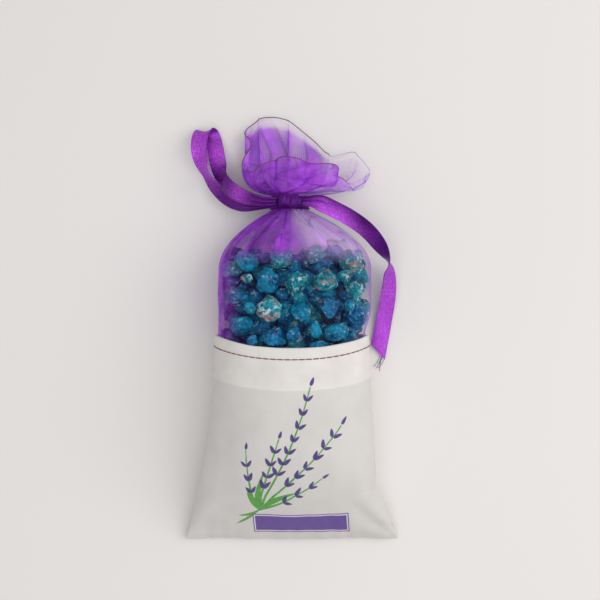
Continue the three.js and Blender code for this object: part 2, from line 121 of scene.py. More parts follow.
TAIL_ROUTE = [
    (4.7, 0, 0.4, 0, 1, 0.1), (9.6, -0.2, 0.3, 0.1, 1, 0.2), (15.2, -2.5, -0.2, 0.3, 1, 0.3),
    (21.6, -5.8, -1.4, 0.5, 1, 0.3), (27.4, -9.8, -3.2, 0.75, 0.75, 0.4), (31.9, -14.6, -5.6, 0.9, 0.5, 0.7),
    (35, -19.8, -8.2, 0.25, 0.15, 1), (36.4, -25.6, -11, -0.75, -0.1, 0.75),
    (36.2, -33.6, -14, -1, -0.2, 0.3), (34.6, -43.6, -16.6, -1, -0.2, 0.1), (32.6, -54.4, -17.4, -1, -0.3, 0),
]
TAIL_SLANT = 4.5  # one edge of the cut end runs this much longer
RIBBON_SHOWN_THICK = 0.3


def middle_mm(node):
    """Middle of a CAD node's box, in millimetres."""
    low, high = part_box(node)
    return (np.array(low) + np.array(high)) / 2 / MM


NECK = middle_mm("ribbon_neck_wrap")
KNOT = middle_mm("ribbon_knot")
BAG_ORIGIN = NECK - np.array([NECK_ASIDE, NECK_HEIGHT, NECK_LEVEL])


# Camera: straight above, framed like the photograph
CAMERA_HEIGHT = 420.0
VIEW_SIDE = 223.0
VIEW_CENTRE = (3.0, 10.0)
camera_data = bpy.data.cameras.new("camera")
camera_data.sensor_width = 36.0
camera_data.lens = camera_data.sensor_width * CAMERA_HEIGHT / VIEW_SIDE
camera_data.clip_start = 0.01
camera = bpy.data.objects.new("camera", camera_data)
camera.location = (VIEW_CENTRE[0] * MM, VIEW_CENTRE[1] * MM, CAMERA_HEIGHT * MM)
bpy.context.collection.objects.link(camera)
bpy.context.scene.camera = camera


# Shape helpers
def mix(a, b, share):
    return a + (b - a) * share


def ease(value, low, high):
    """Smooth step from 0 at low to 1 at high."""
    share = np.clip((value - low) / (high - low), 0, 1)
    return share * share * (3 - 2 * share)


def spline(points, shares, closed=False):
    """Catmull-Rom curve through points, read at shares from 0 to 1."""
    points = np.asarray(points, float)
    count = len(points)
    spans = count if closed else count - 1
    place = np.asarray(shares) * spans
    span = np.clip(np.floor(place).astype(int), 0, spans - 1)
    t = (place - span)[..., None]

    def at(k):
        return points[k % count] if closed else points[np.clip(k, 0, count - 1)]

    a, b, c, d = at(span - 1), at(span), at(span + 1), at(span + 2)
    return 0.5 * (2 * b + (c - a) * t + (2 * a - 5 * b + 4 * c - d) * t**2 + (3 * b - a - 3 * c + d) * t**3)


def unit(vectors):
    return vectors / np.maximum(np.linalg.norm(vectors, axis=-1, keepdims=True), 1e-9)


def ripple(x, y, z, size, seed):
    """Smooth noise from about -1 to 1, with lumps of that size."""
    shape = np.broadcast(x, y, z).shape
    xs, ys, zs = (np.broadcast_to(a, shape).ravel() / size + seed for a in (x, y, z))
    return np.array([noise.noise((p, q, r)) for p, q, r in zip(xs, ys, zs)]).reshape(shape)


# The bag's shape: size across at a height above the bottom seam, and points of its skin
def cross_size(height):
    """Reach of the bag to each side at a height, and where its middle lies."""
    flare = (1 - np.clip(height / POCKET_HEIGHT, 0, 1)) ** 2
    ear = (1 - np.clip(height / EAR_HEIGHT, 0, 1)) ** EAR_CURVE
    above_ear = np.clip((height - EAR_HEIGHT) / (POCKET_HEIGHT - EAR_HEIGHT), 0, 1)
    swell = 1 - (1 - np.clip(height / BELLY_HEIGHT, 0, 1)) ** SWELL_CURVE
    drawn = np.clip((height - SHOULDER_HEIGHT) / (NECK_LOW - SHOULDER_HEIGHT), 0, 1) ** 2
    loose = BODY_DEPTH - SEAM_GAP - 2 * FLAT_HALF_DEPTH
    neck_half = (NECK_DEPTH - SEAM_GAP) / 2 + ORGANZA_INSET
    neck_side = NECK_WIDTH / 2 + ORGANZA_INSET
    lift = HEM_LIFT * (ease(height, POCKET_HEIGHT - HEM_DEPTH, POCKET_HEIGHT - HEM_STITCH_DROP)
                       + 1 - ease(height, 0, BOTTOM_ROUND))
    lift = lift - (HEM_LIFT + ORGANZA_INSET) * ease(height, POCKET_HEIGHT, POCKET_HEIGHT + ORGANZA_SETTLE)
    down = FLAT_HALF_DEPTH + SEAM_SHARE * loose * swell
    up = FLAT_HALF_DEPTH + (1 - SEAM_SHARE) * loose * swell
    right = mix(mix(EAR_ROOT, BODY_WIDTH / 2, above_ear), POCKET_FLAT_WIDTH / 2, ear)
    right = right + RIGHT_BULGE * ease(height, POCKET_HEIGHT, POCKET_HEIGHT + ORGANZA_SETTLE)
    return {
        "left": mix(mix(BODY_WIDTH, POCKET_FLAT_WIDTH, flare) / 2, neck_side, drawn),
        "right": mix(right, neck_side, drawn),
        "up": mix(up, neck_half, drawn),
        "down": mix(down, neck_half, drawn),
        "aside": NECK_ASIDE * drawn,
        "level": mix(lift + down + SEAM_GAP / 2, NECK_LEVEL, drawn),
        "flatness": swell * (1 - drawn),
    }


def skin(height, angle, inset, gap, front):
    """Points of the bag's skin, moved in by inset, its front and back edges gap apart at the side seams."""
    size = cross_size(height)
    squareness = mix(1, FRONT_SQUARENESS if front else BACK_SQUARENESS, size["flatness"])
    cosine, sine = np.cos(angle), np.abs(np.sin(angle))
    across = np.sign(cosine) * np.abs(cosine) ** squareness
    rise = np.minimum(1, sine**squareness * mix(1, 1 if front else BACK_FULLNESS, size["flatness"]))
    depth = size["up" if front else "down"] - inset
    sag = ease(height, 0, POCKET_HEIGHT) * (1 - ease(height, POCKET_HEIGHT, NECK_HEIGHT))
    x = size["aside"] + (np.where(across < 0, size["left"], size["right"]) - inset) * across
    y = height - (HEM_SAG * sag * rise**2 if front else 0)
    z = size["level"] + (1 if front else -1) * (gap / 2 + depth * rise)
    return np.stack(np.broadcast_arrays(x, y, z), -1) + BAG_ORIGIN


def even_angles(heights, shares, inset, front):
    """Angles round the bag that part each row of cloth evenly, from the left seam to the right."""
    fine = np.linspace(math.pi, 0, 241) if front else np.linspace(math.pi, 2 * math.pi, 241)
    rows = []
    for height in heights:
        points = skin(height, fine, inset, 0, front)
        travelled = np.concatenate([[0], np.cumsum(np.linalg.norm(np.diff(points, axis=0), axis=1))])
        rows.append(np.interp(shares * travelled[-1], travelled, fine))
    return np.array(rows)


# Mesh helpers
def new_piece(name, bm, material, replaced=()):
    """Makes an object of a shape, sets its finish, and rides it on the bag."""
    mesh = bpy.data.meshes.new(name)
    bm.to_mesh(mesh)
    bm.free()
    mesh.materials.append(material)
    mesh.shade_smooth()
    piece = bpy.data.objects.new(name, mesh)
    bpy.context.collection.objects.link(piece)
    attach(piece, ROOT)
    if replaced:
        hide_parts(*replaced)
    return piece


def grid_cloth(columns, rows, place, flip=False):
    """A grid of cloth with its flat pattern as UV, each point where place(across, along) puts it, in mm."""
    bm = bmesh.new()
    bm.loops.layers.uv.new("flat")
    bmesh.ops.create_grid(bm, x_segments=columns, y_segments=rows, size=0.5, calc_uvs=True)
    flat = np.array([v.co[:2] for v in bm.verts]) + 0.5
    order = np.lexsort((flat[:, 0].round(6), flat[:, 1].round(6)))
    across = np.linspace(0, 1, columns + 1)
    along = np.linspace(0, 1, rows + 1)
    placed = place(across, along).reshape(-1, 3) * MM
    bm.verts.ensure_lookup_table()
    for index, point in zip(order, placed):
        bm.verts[int(index)].co = point
    if flip:
        bmesh.ops.reverse_faces(bm, faces=bm.faces)
    return bm


def grid_normals(points):
    """Unit normals of a grid of points (rows, columns, 3), pointing away from across x along."""
    along = np.gradient(points, axis=0)
    across = np.gradient(points, axis=1)
    return unit(np.cross(across, along)), unit(across)


def thicken(piece, thickness, offset=0.0):
    """Gives cloth a thickness, with crisp cut edges."""
    mesh = piece.data
    faces_met = np.bincount([loop.edge_index for loop in mesh.loops], minlength=len(mesh.edges))
    for edge, met in zip(mesh.edges, faces_met):
        edge.use_edge_sharp = bool(met == 1)
    wall = piece.modifiers.new("thickness", "SOLIDIFY")
    wall.thickness = thickness * MM
    wall.offset = offset


def close_roll(bm):
    """Sews the long edges of a rolled grid together and closes its ends."""
    bmesh.ops.remove_doubles(bm, verts=bm.verts, dist=1e-7)
    bmesh.ops.holes_fill(bm, edges=[edge for edge in bm.edges if edge.is_boundary])
    bmesh.ops.recalc_face_normals(bm, faces=bm.faces)


def tube(points, radius, sides):
    """A round thread along a line of points, in millimetres: a strip of grid rolled up."""
    points = np.asarray(points, float)
    along = unit(np.gradient(points, axis=0))
    side = [np.array([0.31, 0.53, 0.79])]
    for direction in along:
        side.append(unit(side[-1] - direction * side[-1].dot(direction)))
    side = np.array(side[1:])
    other = np.cross(along, side)

    def place(across, rows):
        turn = (2 * math.pi * across)[None, :, None]
        return points[:, None] + radius * (np.cos(turn) * side[:, None] + np.sin(turn) * other[:, None])

    bm = grid_cloth(sides, len(points) - 1, place)
    close_roll(bm)
    return bm


def join(bm, part):
    """Adds the shape of part to bm."""
    mesh = bpy.data.meshes.new("part")
    part.to_mesh(mesh)
    part.free()
    bm.from_mesh(mesh)
    bpy.data.meshes.remove(mesh)


def flat_places(mesh):
    """Each point's place on the flat cut, as shares of its width and length."""
    uv = np.empty(len(mesh.loops) * 2)
    mesh.uv_layers["flat"].data.foreach_get("uv", uv)
    corner = np.empty(len(mesh.loops), int)
    mesh.loops.foreach_get("vertex_index", corner)
    flat = np.zeros((len(mesh.vertices), 2))
    flat[corner] = uv.reshape(-1, 2)
    return flat


def store(mesh, name, values):
    layer = mesh.attributes.new(name, "FLOAT", "POINT")
    layer.data.foreach_set("value", np.asarray(values, np.float32))


# Material helpers
def new_material(name):
    material = bpy.data.materials.new(name)
    material.use_nodes = True
    tree = material.node_tree
    return material, tree, tree.nodes["Principled BSDF"]


def fill(tree, made, inputs):
    """Sets or links the inputs of a node, by name or number."""
    for key, value in inputs.items():
        if isinstance(value, bpy.types.NodeSocket):
            tree.links.new(value, made.inputs[key])
        else:
            made.inputs[key].default_value = value


def put(tree, kind, inputs=None, **settings):
    """Adds a node with its settings and its inputs."""
    made = tree.nodes.new(kind)
    for key, value in settings.items():
        setattr(made, key, value)
    fill(tree, made, inputs or {})
    return made


def calc(tree, operation, a, b=0.0):
    return put(tree, "ShaderNodeMath", {0: a, 1: b}, operation=operation).outputs[0]


def stored(tree, name):
    """A value that the mesh holds at each point."""
    return put(tree, "ShaderNodeAttribute", attribute_name=name).outputs["Fac"]


def blend(tree, share, a, b):
    """A colour that goes from a to b with share."""
    made = put(tree, "ShaderNodeMix", data_type="RGBA")
    place = {socket.identifier: number for number, socket in enumerate(made.inputs)}
    fill(tree, made, {place["Factor_Float"]: share, place["A_Color"]: a, place["B_Color"]: b})
    return next(socket for socket in made.outputs if socket.identifier == "Result_Color")


def rgb(red, green, blue):
    """A colour given as it looks on screen, 0 to 255, in the linear values that shaders take."""
    def linear(value):
        value /= 255
        return value / 12.92 if value <= 0.04045 else ((value + 0.055) / 1.055) ** 2.4

    return (linear(red), linear(green), linear(blue), 1.0)


def object_noise(tree, scale, detail, roughness=0.55, distortion=0.0):
    """Noise that stays put on the piece."""
    place = put(tree, "ShaderNodeTexCoord").outputs["Object"]
    made = put(tree, "ShaderNodeTexNoise", {"Vector": place, "Scale": scale, "Detail": detail,
                                            "Roughness": roughness, "Distortion": distortion})
    return made.outputs["Fac"]


def limits(tree, value, low, high, to_low=0.0, to_high=1.0):
    """A value between low and high, taken over to another range and held inside it."""
    return put(tree, "ShaderNodeMapRange", {"Value": value, "From Min": low, "From Max": high,
                                            "To Min": to_low, "To Max": to_high}).outputs["Result"]


def flat_pattern(tree):
    """Shares of the flat cut's width and length."""
    flat = put(tree, "ShaderNodeUVMap", uv_map="flat").outputs["UV"]
    parts = put(tree, "ShaderNodeSeparateXYZ", {"Vector": flat})
    return parts.outputs["X"], parts.outputs["Y"]


SLUB_RUN = 0.06  # a slub changes this slowly along its thread


def weave_group():
    """Plain weave on a flat pattern: height of the threads, low between them, and their slubs."""
    group = bpy.data.node_groups.new("plain_weave", "ShaderNodeTree")
    for way, names in (("INPUT", ("Threads Across", "Threads Along")), ("OUTPUT", ("Height", "Slub"))):
        for name in names:
            group.interface.new_socket(name, in_out=way, socket_type="NodeSocketFloat")
    start = group.nodes.new("NodeGroupInput")
    end = group.nodes.new("NodeGroupOutput")
    across_share, along_share = flat_pattern(group)
    across = calc(group, "MULTIPLY", across_share, start.outputs["Threads Across"])
    along = calc(group, "MULTIPLY", along_share, start.outputs["Threads Along"])
    warp = calc(group, "ABSOLUTE", calc(group, "SINE", calc(group, "MULTIPLY", across, math.pi)))
    weft = calc(group, "ABSOLUTE", calc(group, "SINE", calc(group, "MULTIPLY", along, math.pi)))
    warp_number = calc(group, "FLOOR", across)
    over = calc(group, "MODULO", calc(group, "ADD", warp_number, calc(group, "FLOOR", along)), 2.0)
    height = calc(group, "ADD", calc(group, "MULTIPLY", over, warp),
                  calc(group, "MULTIPLY", calc(group, "SUBTRACT", 1.0, over), weft))
    run = calc(group, "MULTIPLY", along, SLUB_RUN)
    thread_place = put(group, "ShaderNodeCombineXYZ", {"X": warp_number, "Y": run})
    slub = put(group, "ShaderNodeTexNoise", {"Vector": thread_place.outputs[0], "Scale": 1.0, "Detail": 2.0})
    fill(group, end, {"Height": height, "Slub": slub.outputs["Fac"]})
    return group


WEAVE = weave_group()


def weave(tree, cut, spacing):
    """Height and slubs of the threads in a cut of cloth, at that spacing in millimetres."""
    threads = {"Threads Across": cut[0] / spacing, "Threads Along": cut[1] / spacing}
    made = put(tree, "ShaderNodeGroup", threads, node_tree=WEAVE)
    return made.outputs["Height"], made.outputs["Slub"]


def bump(tree, shader, height, strength, distance):
    made = put(tree, "ShaderNodeBump", {"Height": height, "Strength": strength, "Distance": distance * MM})
    fill(tree, shader, {"Normal": made.outputs["Normal"]})


# Satin ribbon
SATIN_RIBS = 120.0  # along a piece of ribbon
SATIN_SLANT = 5.0  # ribs that it crosses from edge to edge


def satin_material():
    material, tree, shader = new_material("purple_satin")
    across, along = flat_pattern(tree)
    slant = calc(tree, "MULTIPLY", across, SATIN_SLANT)
    slant = calc(tree, "ADD", calc(tree, "MULTIPLY", along, SATIN_RIBS), slant)
    rib = calc(tree, "SINE", calc(tree, "MULTIPLY", slant, 2 * math.pi))
    edge = calc(tree, "ABSOLUTE", calc(tree, "SUBTRACT", calc(tree, "MULTIPLY", across, 2.0), 1.0))
    selvage = limits(tree, edge, 0.86, 0.93)
    shimmer = object_noise(tree, 1500.0, 2.0)
    # The base colour carries painted highlight and shade: the stored sheen runs it from a dark, shaded purple
    # to a bright, lit one. Pieces that store none, the wrap and the knot, take the dark end.
    painted_sheen = stored(tree, "painted_sheen")
    base = blend(tree, painted_sheen, rgb(78, 2, 112), rgb(178, 66, 212))
    # Painted glints along the ribs, brighter where the painted sheen is high.
    painted_glint = calc(tree, "MULTIPLY", limits(tree, rib, 0.0, 1.0), limits(tree, shimmer, 0.45, 0.65))
    painted_glint = calc(tree, "MULTIPLY", painted_glint, limits(tree, painted_sheen, 0.0, 0.8, 0.05, 0.6))
    base = blend(tree, painted_glint, base, rgb(228, 160, 248))
    base = blend(tree, calc(tree, "MULTIPLY", selvage, 0.25), base, rgb(78, 10, 108))
    fill(tree, shader, {"Base Color": base, "Roughness": limits(tree, shimmer, 0.3, 0.7, 0.26, 0.4),
                        "Metallic": 0.35, "Specular IOR Level": 0.2, "Anisotropic": 0.5})
    height = calc(tree, "ADD", calc(tree, "MULTIPLY", rib, 0.5), calc(tree, "MULTIPLY", selvage, 0.4))
    bump(tree, shader, height, 0.2, 0.06)
    return material


SATIN = satin_material()

# Painted highlight and shade along the satin, where it would catch the light: share of the ribbon's length
# from the knot, brightness
LOOP_PAINTED_SHEEN = [
    (0, 0.1), (0.09, 0.1), (0.14, 0.75), (0.19, 0.15), (0.25, 0.15), (0.32, 0.9), (0.38, 0.55),
    (0.45, 0.35), (0.53, 0.75), (0.67, 0.9), (0.74, 0.4), (0.8, 0.08), (1, 0.1),
]
TAIL_PAINTED_SHEEN = [
    (0, 0.1), (0.15, 0.5), (0.25, 0.55), (0.36, 0.15), (0.58, 0.15), (0.68, 0.7), (0.78, 0.9), (1, 0.6),
]
RIBBON_COLUMNS = 12
DRAWN_HALF = 1.3  # half of the ribbon's width where the knot draws it together
BUNCH = 0.55  # height of the creases there
CUP = 0.35  # the ribbon's middle stands this much higher than its edges
CUP_DROP = 0.2


def ribbon_piece(name, route, painted_sheen, samples, both_ends, slant, node):
    """A flat ribbon along a route, drawn together at the knot, a little cupped across."""
    route = np.asarray(route, float)
    shares = np.linspace(0, 1, samples + 1)
    line = spline(route[:, :3], shares) + KNOT
    wide = spline(unit(route[:, 3:]), shares)
    along = unit(np.gradient(line, axis=0))
    wide = unit(wide - along * np.sum(wide * along, axis=1, keepdims=True))
    face = np.cross(wide, along)
    from_knot = np.minimum(shares, 1 - shares) if both_ends else shares
    half = mix(DRAWN_HALF, RIBBON_WIDTH / 2, ease(from_knot, 0, 0.16))
    tilt = -slant * ease(shares, 0.86, 1) / RIBBON_WIDTH
    bunch = BUNCH * (1 - ease(from_knot, 0.02, 0.2))

    def place(across, rows):
        side = (2 * across - 1)[None, :, None]
        half_row, tilt_row, bunch_row = (row[:, None, None] for row in (half, tilt, bunch))
        cup = CUP * (1 - side**2) - CUP_DROP
        crease = bunch_row * np.cos(side * 2.5 * math.pi)
        return (line[:, None] + wide[:, None] * side * half_row + along[:, None] * side * half_row * tilt_row
                + face[:, None] * (cup + crease))

    piece = new_piece(name, grid_cloth(RIBBON_COLUMNS, samples, place), SATIN, [node])
    u, v = flat_places(piece.data).T
    # Painted highlight and shade across the tail's first part: its lower edge is painted lit and its upper
    # edge shaded.
    lower_edge_highlight = (0.5 - u) * (1 - ease(v, 0.35, 0.45)) * (0 if both_ends else 0.6)
    store(piece.data, "painted_sheen", np.clip(np.interp(v, *np.transpose(painted_sheen)) + lower_edge_highlight, 0, 1))
    thicken(piece, RIBBON_SHOWN_THICK)
    return line, wide, along


ribbon_piece("satin_loop", LOOP_ROUTE, LOOP_PAINTED_SHEEN, samples=170, both_ends=True, slant=0, node="ribbon_loop")
tail_line, tail_wide, tail_along = ribbon_piece("satin_tail", TAIL_ROUTE, TAIL_PAINTED_SHEEN, samples=150,
                                                both_ends=False, slant=TAIL_SLANT, node="ribbon_tail")


# Cotton pocket
COTTON_CUT = (POCKET_FLAT_WIDTH, POCKET_HEIGHT + HEM_DEPTH)
COTTON_SHOWN_THICK = 0.42
COTTON_THREADS = 0.42  # spacing of the weave
HEM_FOLD_GAP = 0.8  # between the middles of the two layers at the hem
SEAM_GROOVE = 0.7  # depth and reach of the groove along the side seams
SOFT_WAVES = ((0.55, 17, 0), (0.25, 7, 5))  # height, size and step of the seed
PUCKER = (0.18, 6.5)  # height and spacing, along the side seams
GATHERS = (0.15, 8)  # height and spacing, along the bottom seam
FAN_HEIGHT = 0.45  # creases that fan out from the bottom corners
FAN_CREASES = 9
FAN_REACH = (15, 8)


def cotton_surface(across, along, front):
    """Middle of the cotton: up the pocket, over the hem fold and back down inside."""
    past = along * COTTON_CUT[1] - POCKET_HEIGHT
    heights = POCKET_HEIGHT - np.sqrt(past**2 + 0.05) + 0.22
    inset = COTTON_THICK / 2 + HEM_FOLD_GAP * ease(past, -0.5, 0.5)
    angles = even_angles(heights, across, COTTON_THICK / 2, front)
    edge = np.minimum(across, 1 - across)[None, :] * COTTON_CUT[0]
    groove = SEAM_GROOVE * np.exp(-((edge / SEAM_GROOVE) ** 2))
    points = skin(heights[:, None], angles, inset[:, None] + groove, CLEARANCE, front)
    normals, _ = grid_normals(points)
    outward = normals * (np.sign(np.sum(normals[..., 2])) * (1 if front else -1))

    x, y = across[None, :] * COTTON_CUT[0], heights[:, None]
    seed = 3.1 if front else 9.7
    soft = sum(high * ripple(x, y, 0 * x, size, seed + step) for high, size, step in SOFT_WAVES)
    pucker = PUCKER[0] * np.exp(-edge / 5)
    pucker = pucker * np.sin(y * 2 * math.pi / PUCKER[1] + 3 * ripple(y, 0, 0, 12, seed + 2))
    gathers = GATHERS[0] * np.exp(-y / 7)
    gathers = gathers * np.sin(x * 2 * math.pi / GATHERS[1] + 4 * ripple(x, 0, 0, 15, seed + 4))
    from_corner = np.minimum(x, COTTON_CUT[0] - x)
    ring = np.exp(-(((np.hypot(from_corner, y) - FAN_REACH[0]) / FAN_REACH[1]) ** 2))
    fan = np.cos(FAN_CREASES * np.arctan2(y, from_corner + 0.01) + seed) * ring
    push = soft * ease(edge, 0, 6) * ease(y, 1, 12) + pucker + gathers * ease(edge, 0, 4) + FAN_HEIGHT * fan
    at_fold = np.exp(-np.abs(past) / 3)[:, None]
    push = push * (1 - 0.6 * at_fold)
    if not front:
        push = np.minimum(push, 0) * ease(points[..., 2], 0.3, 6)
    return points + outward * push[..., None]


# Printed sprigs in the flat pattern's millimetres, from the left bottom corner of the front panel
STEM_BASE = (29.0, 13.8)
SPRIGS = [
    [STEM_BASE, (25.5, 22), (24.6, 38)],
    [STEM_BASE, (31.5, 25), (36.0, 43)],
    [STEM_BASE, (39.0, 32), (46.5, 62)],
    [STEM_BASE, (43.0, 27), (57.5, 47)],
    [STEM_BASE, (42.0, 18), (52.0, 27)],
]
LEAVES = [
    [STEM_BASE, (26.2, 17), (25.4, 23), 1.0],
    [STEM_BASE, (28.2, 20), (31.0, 29.5), 0.95],
    [STEM_BASE, (35.0, 19.0), (43.5, 21.5), 0.9],
    [STEM_BASE, (24.0, 9.5), (19.5, 7.6), 0.5],
    [STEM_BASE, (24.5, 11), (20.5, 11.2), 0.45],
]
LABEL = (44.0, 7.7, 36.0, 8.4)  # middle, width and height
LABEL_RIM = 0.62  # the pale line runs this far inside the label's edge
STEM_WIDTHS = (0.45, 0.22)
STEM_STEPS = 15
LEAF_STEPS = 12
BUD_SPACING = 4.3
BUD_LENGTH = 4.0
BUDS_FROM = 0.36  # buds start at this share of the stem
BUDDED = 0.62  # and are spaced over this share of it
BUD_TURN = 0.6


def bend(points, shares):
    """A curve from a start to an end, drawn towards a pull point between them."""
    a, b, c = (np.array(p, float) for p in points)
    t = shares[:, None]
    return (1 - t) ** 2 * a + 2 * t * (1 - t) * b + t**2 * c


def stroke_distance(flat, line, widths):
    """Distance of flat points outside a stroke along a line, negative inside it."""
    nearest = np.full(len(flat), 99.0)
    for a, b, wa, wb in zip(line, line[1:], widths, widths[1:]):
        span = b - a
        share = np.clip(((flat - a) @ span) / (span @ span), 0, 1)
        gap = np.linalg.norm(flat - a - share[:, None] * span, axis=1) - mix(wa, wb, share)
        nearest = np.minimum(nearest, gap)
    return nearest


def bud_distance(flat, centre, direction, long, wide):
    """Distance of flat points outside a blunt bud, negative inside it."""
    offset = flat - centre
    direction = direction / np.linalg.norm(direction)
    u = offset @ direction
    v = offset @ np.array([-direction[1], direction[0]])
    blunt = wide * (1 - 0.35 * u / long)
    return (np.sqrt((u / long) ** 2 + (v / np.maximum(blunt, 0.1)) ** 2) - 1) * wide


def paint_print(mesh):
    """Stores how far each point of the front panel lies outside the stems, the buds and the label."""
    flat = flat_places(mesh) * np.array(COTTON_CUT)
    count = len(flat)
    stems = np.full(count, 9.0)
    buds = np.full(count, 9.0)
    rng = random.Random(4)
    for points in SPRIGS:
        line = bend(points, np.linspace(0, 1, STEM_STEPS))
        stems = np.minimum(stems, stroke_distance(flat, line, np.linspace(*STEM_WIDTHS, STEM_STEPS)))
        reach = np.linalg.norm(np.diff(line, axis=0), axis=1).sum()
        pairs = int(reach * BUDDED / BUD_SPACING)
        for k in range(pairs + 1):
            share = BUDS_FROM + (1 - BUDS_FROM) * k / pairs
            here, ahead = bend(points, np.array([share, min(1, share + 0.02)]))
            way, turns = ahead - here, (BUD_TURN, -BUD_TURN)
            if k == pairs:
                before, tip = bend(points, np.array([0.97, 1.0]))
                way, turns = tip - before, (0,)
            for turn in turns:
                turn += rng.uniform(-0.22, 0.22)
                lean = np.array([way[0] * math.cos(turn) - way[1] * math.sin(turn),
                                 way[0] * math.sin(turn) + way[1] * math.cos(turn)])
                lean = lean / np.linalg.norm(lean)
                long = BUD_LENGTH / 2 * rng.uniform(0.85, 1.1) * (1 - 0.22 * share)
                centre = here + lean * (long + 0.35)
                buds = np.minimum(buds, bud_distance(flat, centre, lean, long, 0.38 * long))
    for *points, width in LEAVES:
        line = bend(points, np.linspace(0, 1, LEAF_STEPS))
        widths = width * np.sin(np.linspace(0.25, 3.0, LEAF_STEPS))
        stems = np.minimum(stems, stroke_distance(flat, line, widths))
    x, y, wide, high = LABEL
    label = np.maximum(np.abs(flat[:, 0] - x) - wide / 2, np.abs(flat[:, 1] - y) - high / 2)
    single = flat[:, 1] - (POCKET_HEIGHT - HEM_DEPTH)
    for name, values in (("stems", stems), ("buds", buds), ("label", label), ("hem", single)):
        store(mesh, name, values)


def print_colours(tree, colour, slub):
    """The cotton's colour with the hem that shows through, the sprigs and the label."""
    wobble = calc(tree, "MULTIPLY", calc(tree, "SUBTRACT", slub, 0.5), 0.25)
    ink = object_noise(tree, 700.0, 2.0, 0.5)
    see_through = limits(tree, stored(tree, "hem"), -0.4, 0.3, 0.6, 0.0)
    colour = blend(tree, see_through, colour, rgb(204, 202, 199))
    for name, soft, cover, dark, light in (
        ("stems", 0.05, 0.92, rgb(14, 116, 8), rgb(82, 182, 34)),
        ("buds", 0.06, 0.94, rgb(34, 4, 86), rgb(82, 38, 146)),
        ("label", 0.08, 0.95, rgb(74, 34, 132), rgb(100, 60, 160)),
    ):
        outside = calc(tree, "ADD", stored(tree, name), wobble)
        covered = limits(tree, outside, -soft, 0.08, cover, 0.0)
        colour = blend(tree, covered, colour, blend(tree, ink, dark, light))
    rim = calc(tree, "ABSOLUTE", calc(tree, "ADD", stored(tree, "label"), LABEL_RIM))
    return blend(tree, limits(tree, rim, 0.16, 0.3, 0.9, 0.0), colour, rgb(226, 220, 226))


def cotton_material(printed):
    material, tree, shader = new_material("printed_cotton" if printed else "plain_cotton")
    height, slub = weave(tree, COTTON_CUT, COTTON_THREADS)
    blotch = object_noise(tree, 110.0, 3.0)
    colour = blend(tree, limits(tree, blotch, 0.35, 0.65), rgb(222, 218, 214), rgb(232, 228, 225))
    if printed:
        colour = print_colours(tree, colour, slub)
    # Painted shade between the threads: the colour greys a little where the weave lies low.
    colour = blend(tree, limits(tree, height, 0.0, 0.6, 0.12, 0.0), colour, rgb(150, 146, 146))
    fill(tree, shader, {"Base Color": colour, "Roughness": limits(tree, slub, 0.3, 0.7, 0.82, 0.95),
                        "Sheen Weight": 0.12})
    bump(tree, shader, height, 0.3, 0.12)
    return material


def cotton_panel(front):
    side = "front" if front else "back"
    columns, rows = (190, 214) if front else (120, 130)
    bm = grid_cloth(columns, rows, lambda u, v: cotton_surface(u, v, front), flip=not front)
    bmesh.ops.recalc_face_normals(bm, faces=bm.faces)
    piece = new_piece(f"cotton_{side}", bm, cotton_material(front), [f"cotton_{side}_panel"])
    if front:
        paint_print(piece.data)
    thicken(piece, COTTON_SHOWN_THICK)


cotton_panel(True)
cotton_panel(False)


# Organza top
BODY_END = 0.62  # shares of the cut's length at the lower and upper side of the neck
NECK_END = 0.68
ORGANZA_THREADS = 0.5  # spacing of the weave
ORGANZA_GRID = (260, 200)
LOWEST = 0.25  # height above the table


def organza_material():
    """Sheer cloth: each layer lets an open share of the light through, and gathered cloth is many layers."""
    material, tree, shader = new_material("sheer_organza")
    height, slub = weave(tree, ORGANZA_CUT, ORGANZA_THREADS)
    clouds = object_noise(tree, 240.0, 2.0)
    colour = blend(tree, limits(tree, clouds, 0.3, 0.7), rgb(140, 40, 196), rgb(184, 80, 236))
    # Painted light: where the cloth lies single, on the right, on the flap and along the back's lip, it is
    # painted pale lilac as if lit through.
    colour = blend(tree, calc(tree, "MULTIPLY", stored(tree, "single"), 0.9), colour, rgb(222, 178, 252))
    # Painted shade along the creases: dark purple lines where the cloth folds.
    colour = blend(tree, calc(tree, "MULTIPLY", stored(tree, "crease"), 0.6), colour, rgb(84, 20, 132))
    open_share = limits(tree, height, 0.1, 0.8, 0.90, 0.76)
    slanted = put(tree, "ShaderNodeLayerWeight", {"Blend": 0.5}).outputs["Facing"]
    crossed = calc(tree, "DIVIDE", stored(tree, "gathered"), calc(tree, "SUBTRACT", 1.12, slanted))
    crossed = calc(tree, "ADD", crossed, calc(tree, "MULTIPLY", calc(tree, "POWER", slanted, 4.0), 1.2))
    alpha = calc(tree, "SUBTRACT", 1.0, calc(tree, "POWER", open_share, crossed))
    fill(tree, shader, {"Base Color": colour, "Alpha": alpha, "Specular IOR Level": 0.25,
                        "Roughness": limits(tree, slub, 0.3, 0.7, 0.4, 0.6)})
    bump(tree, shader, height, 0.2, 0.05)
    return material


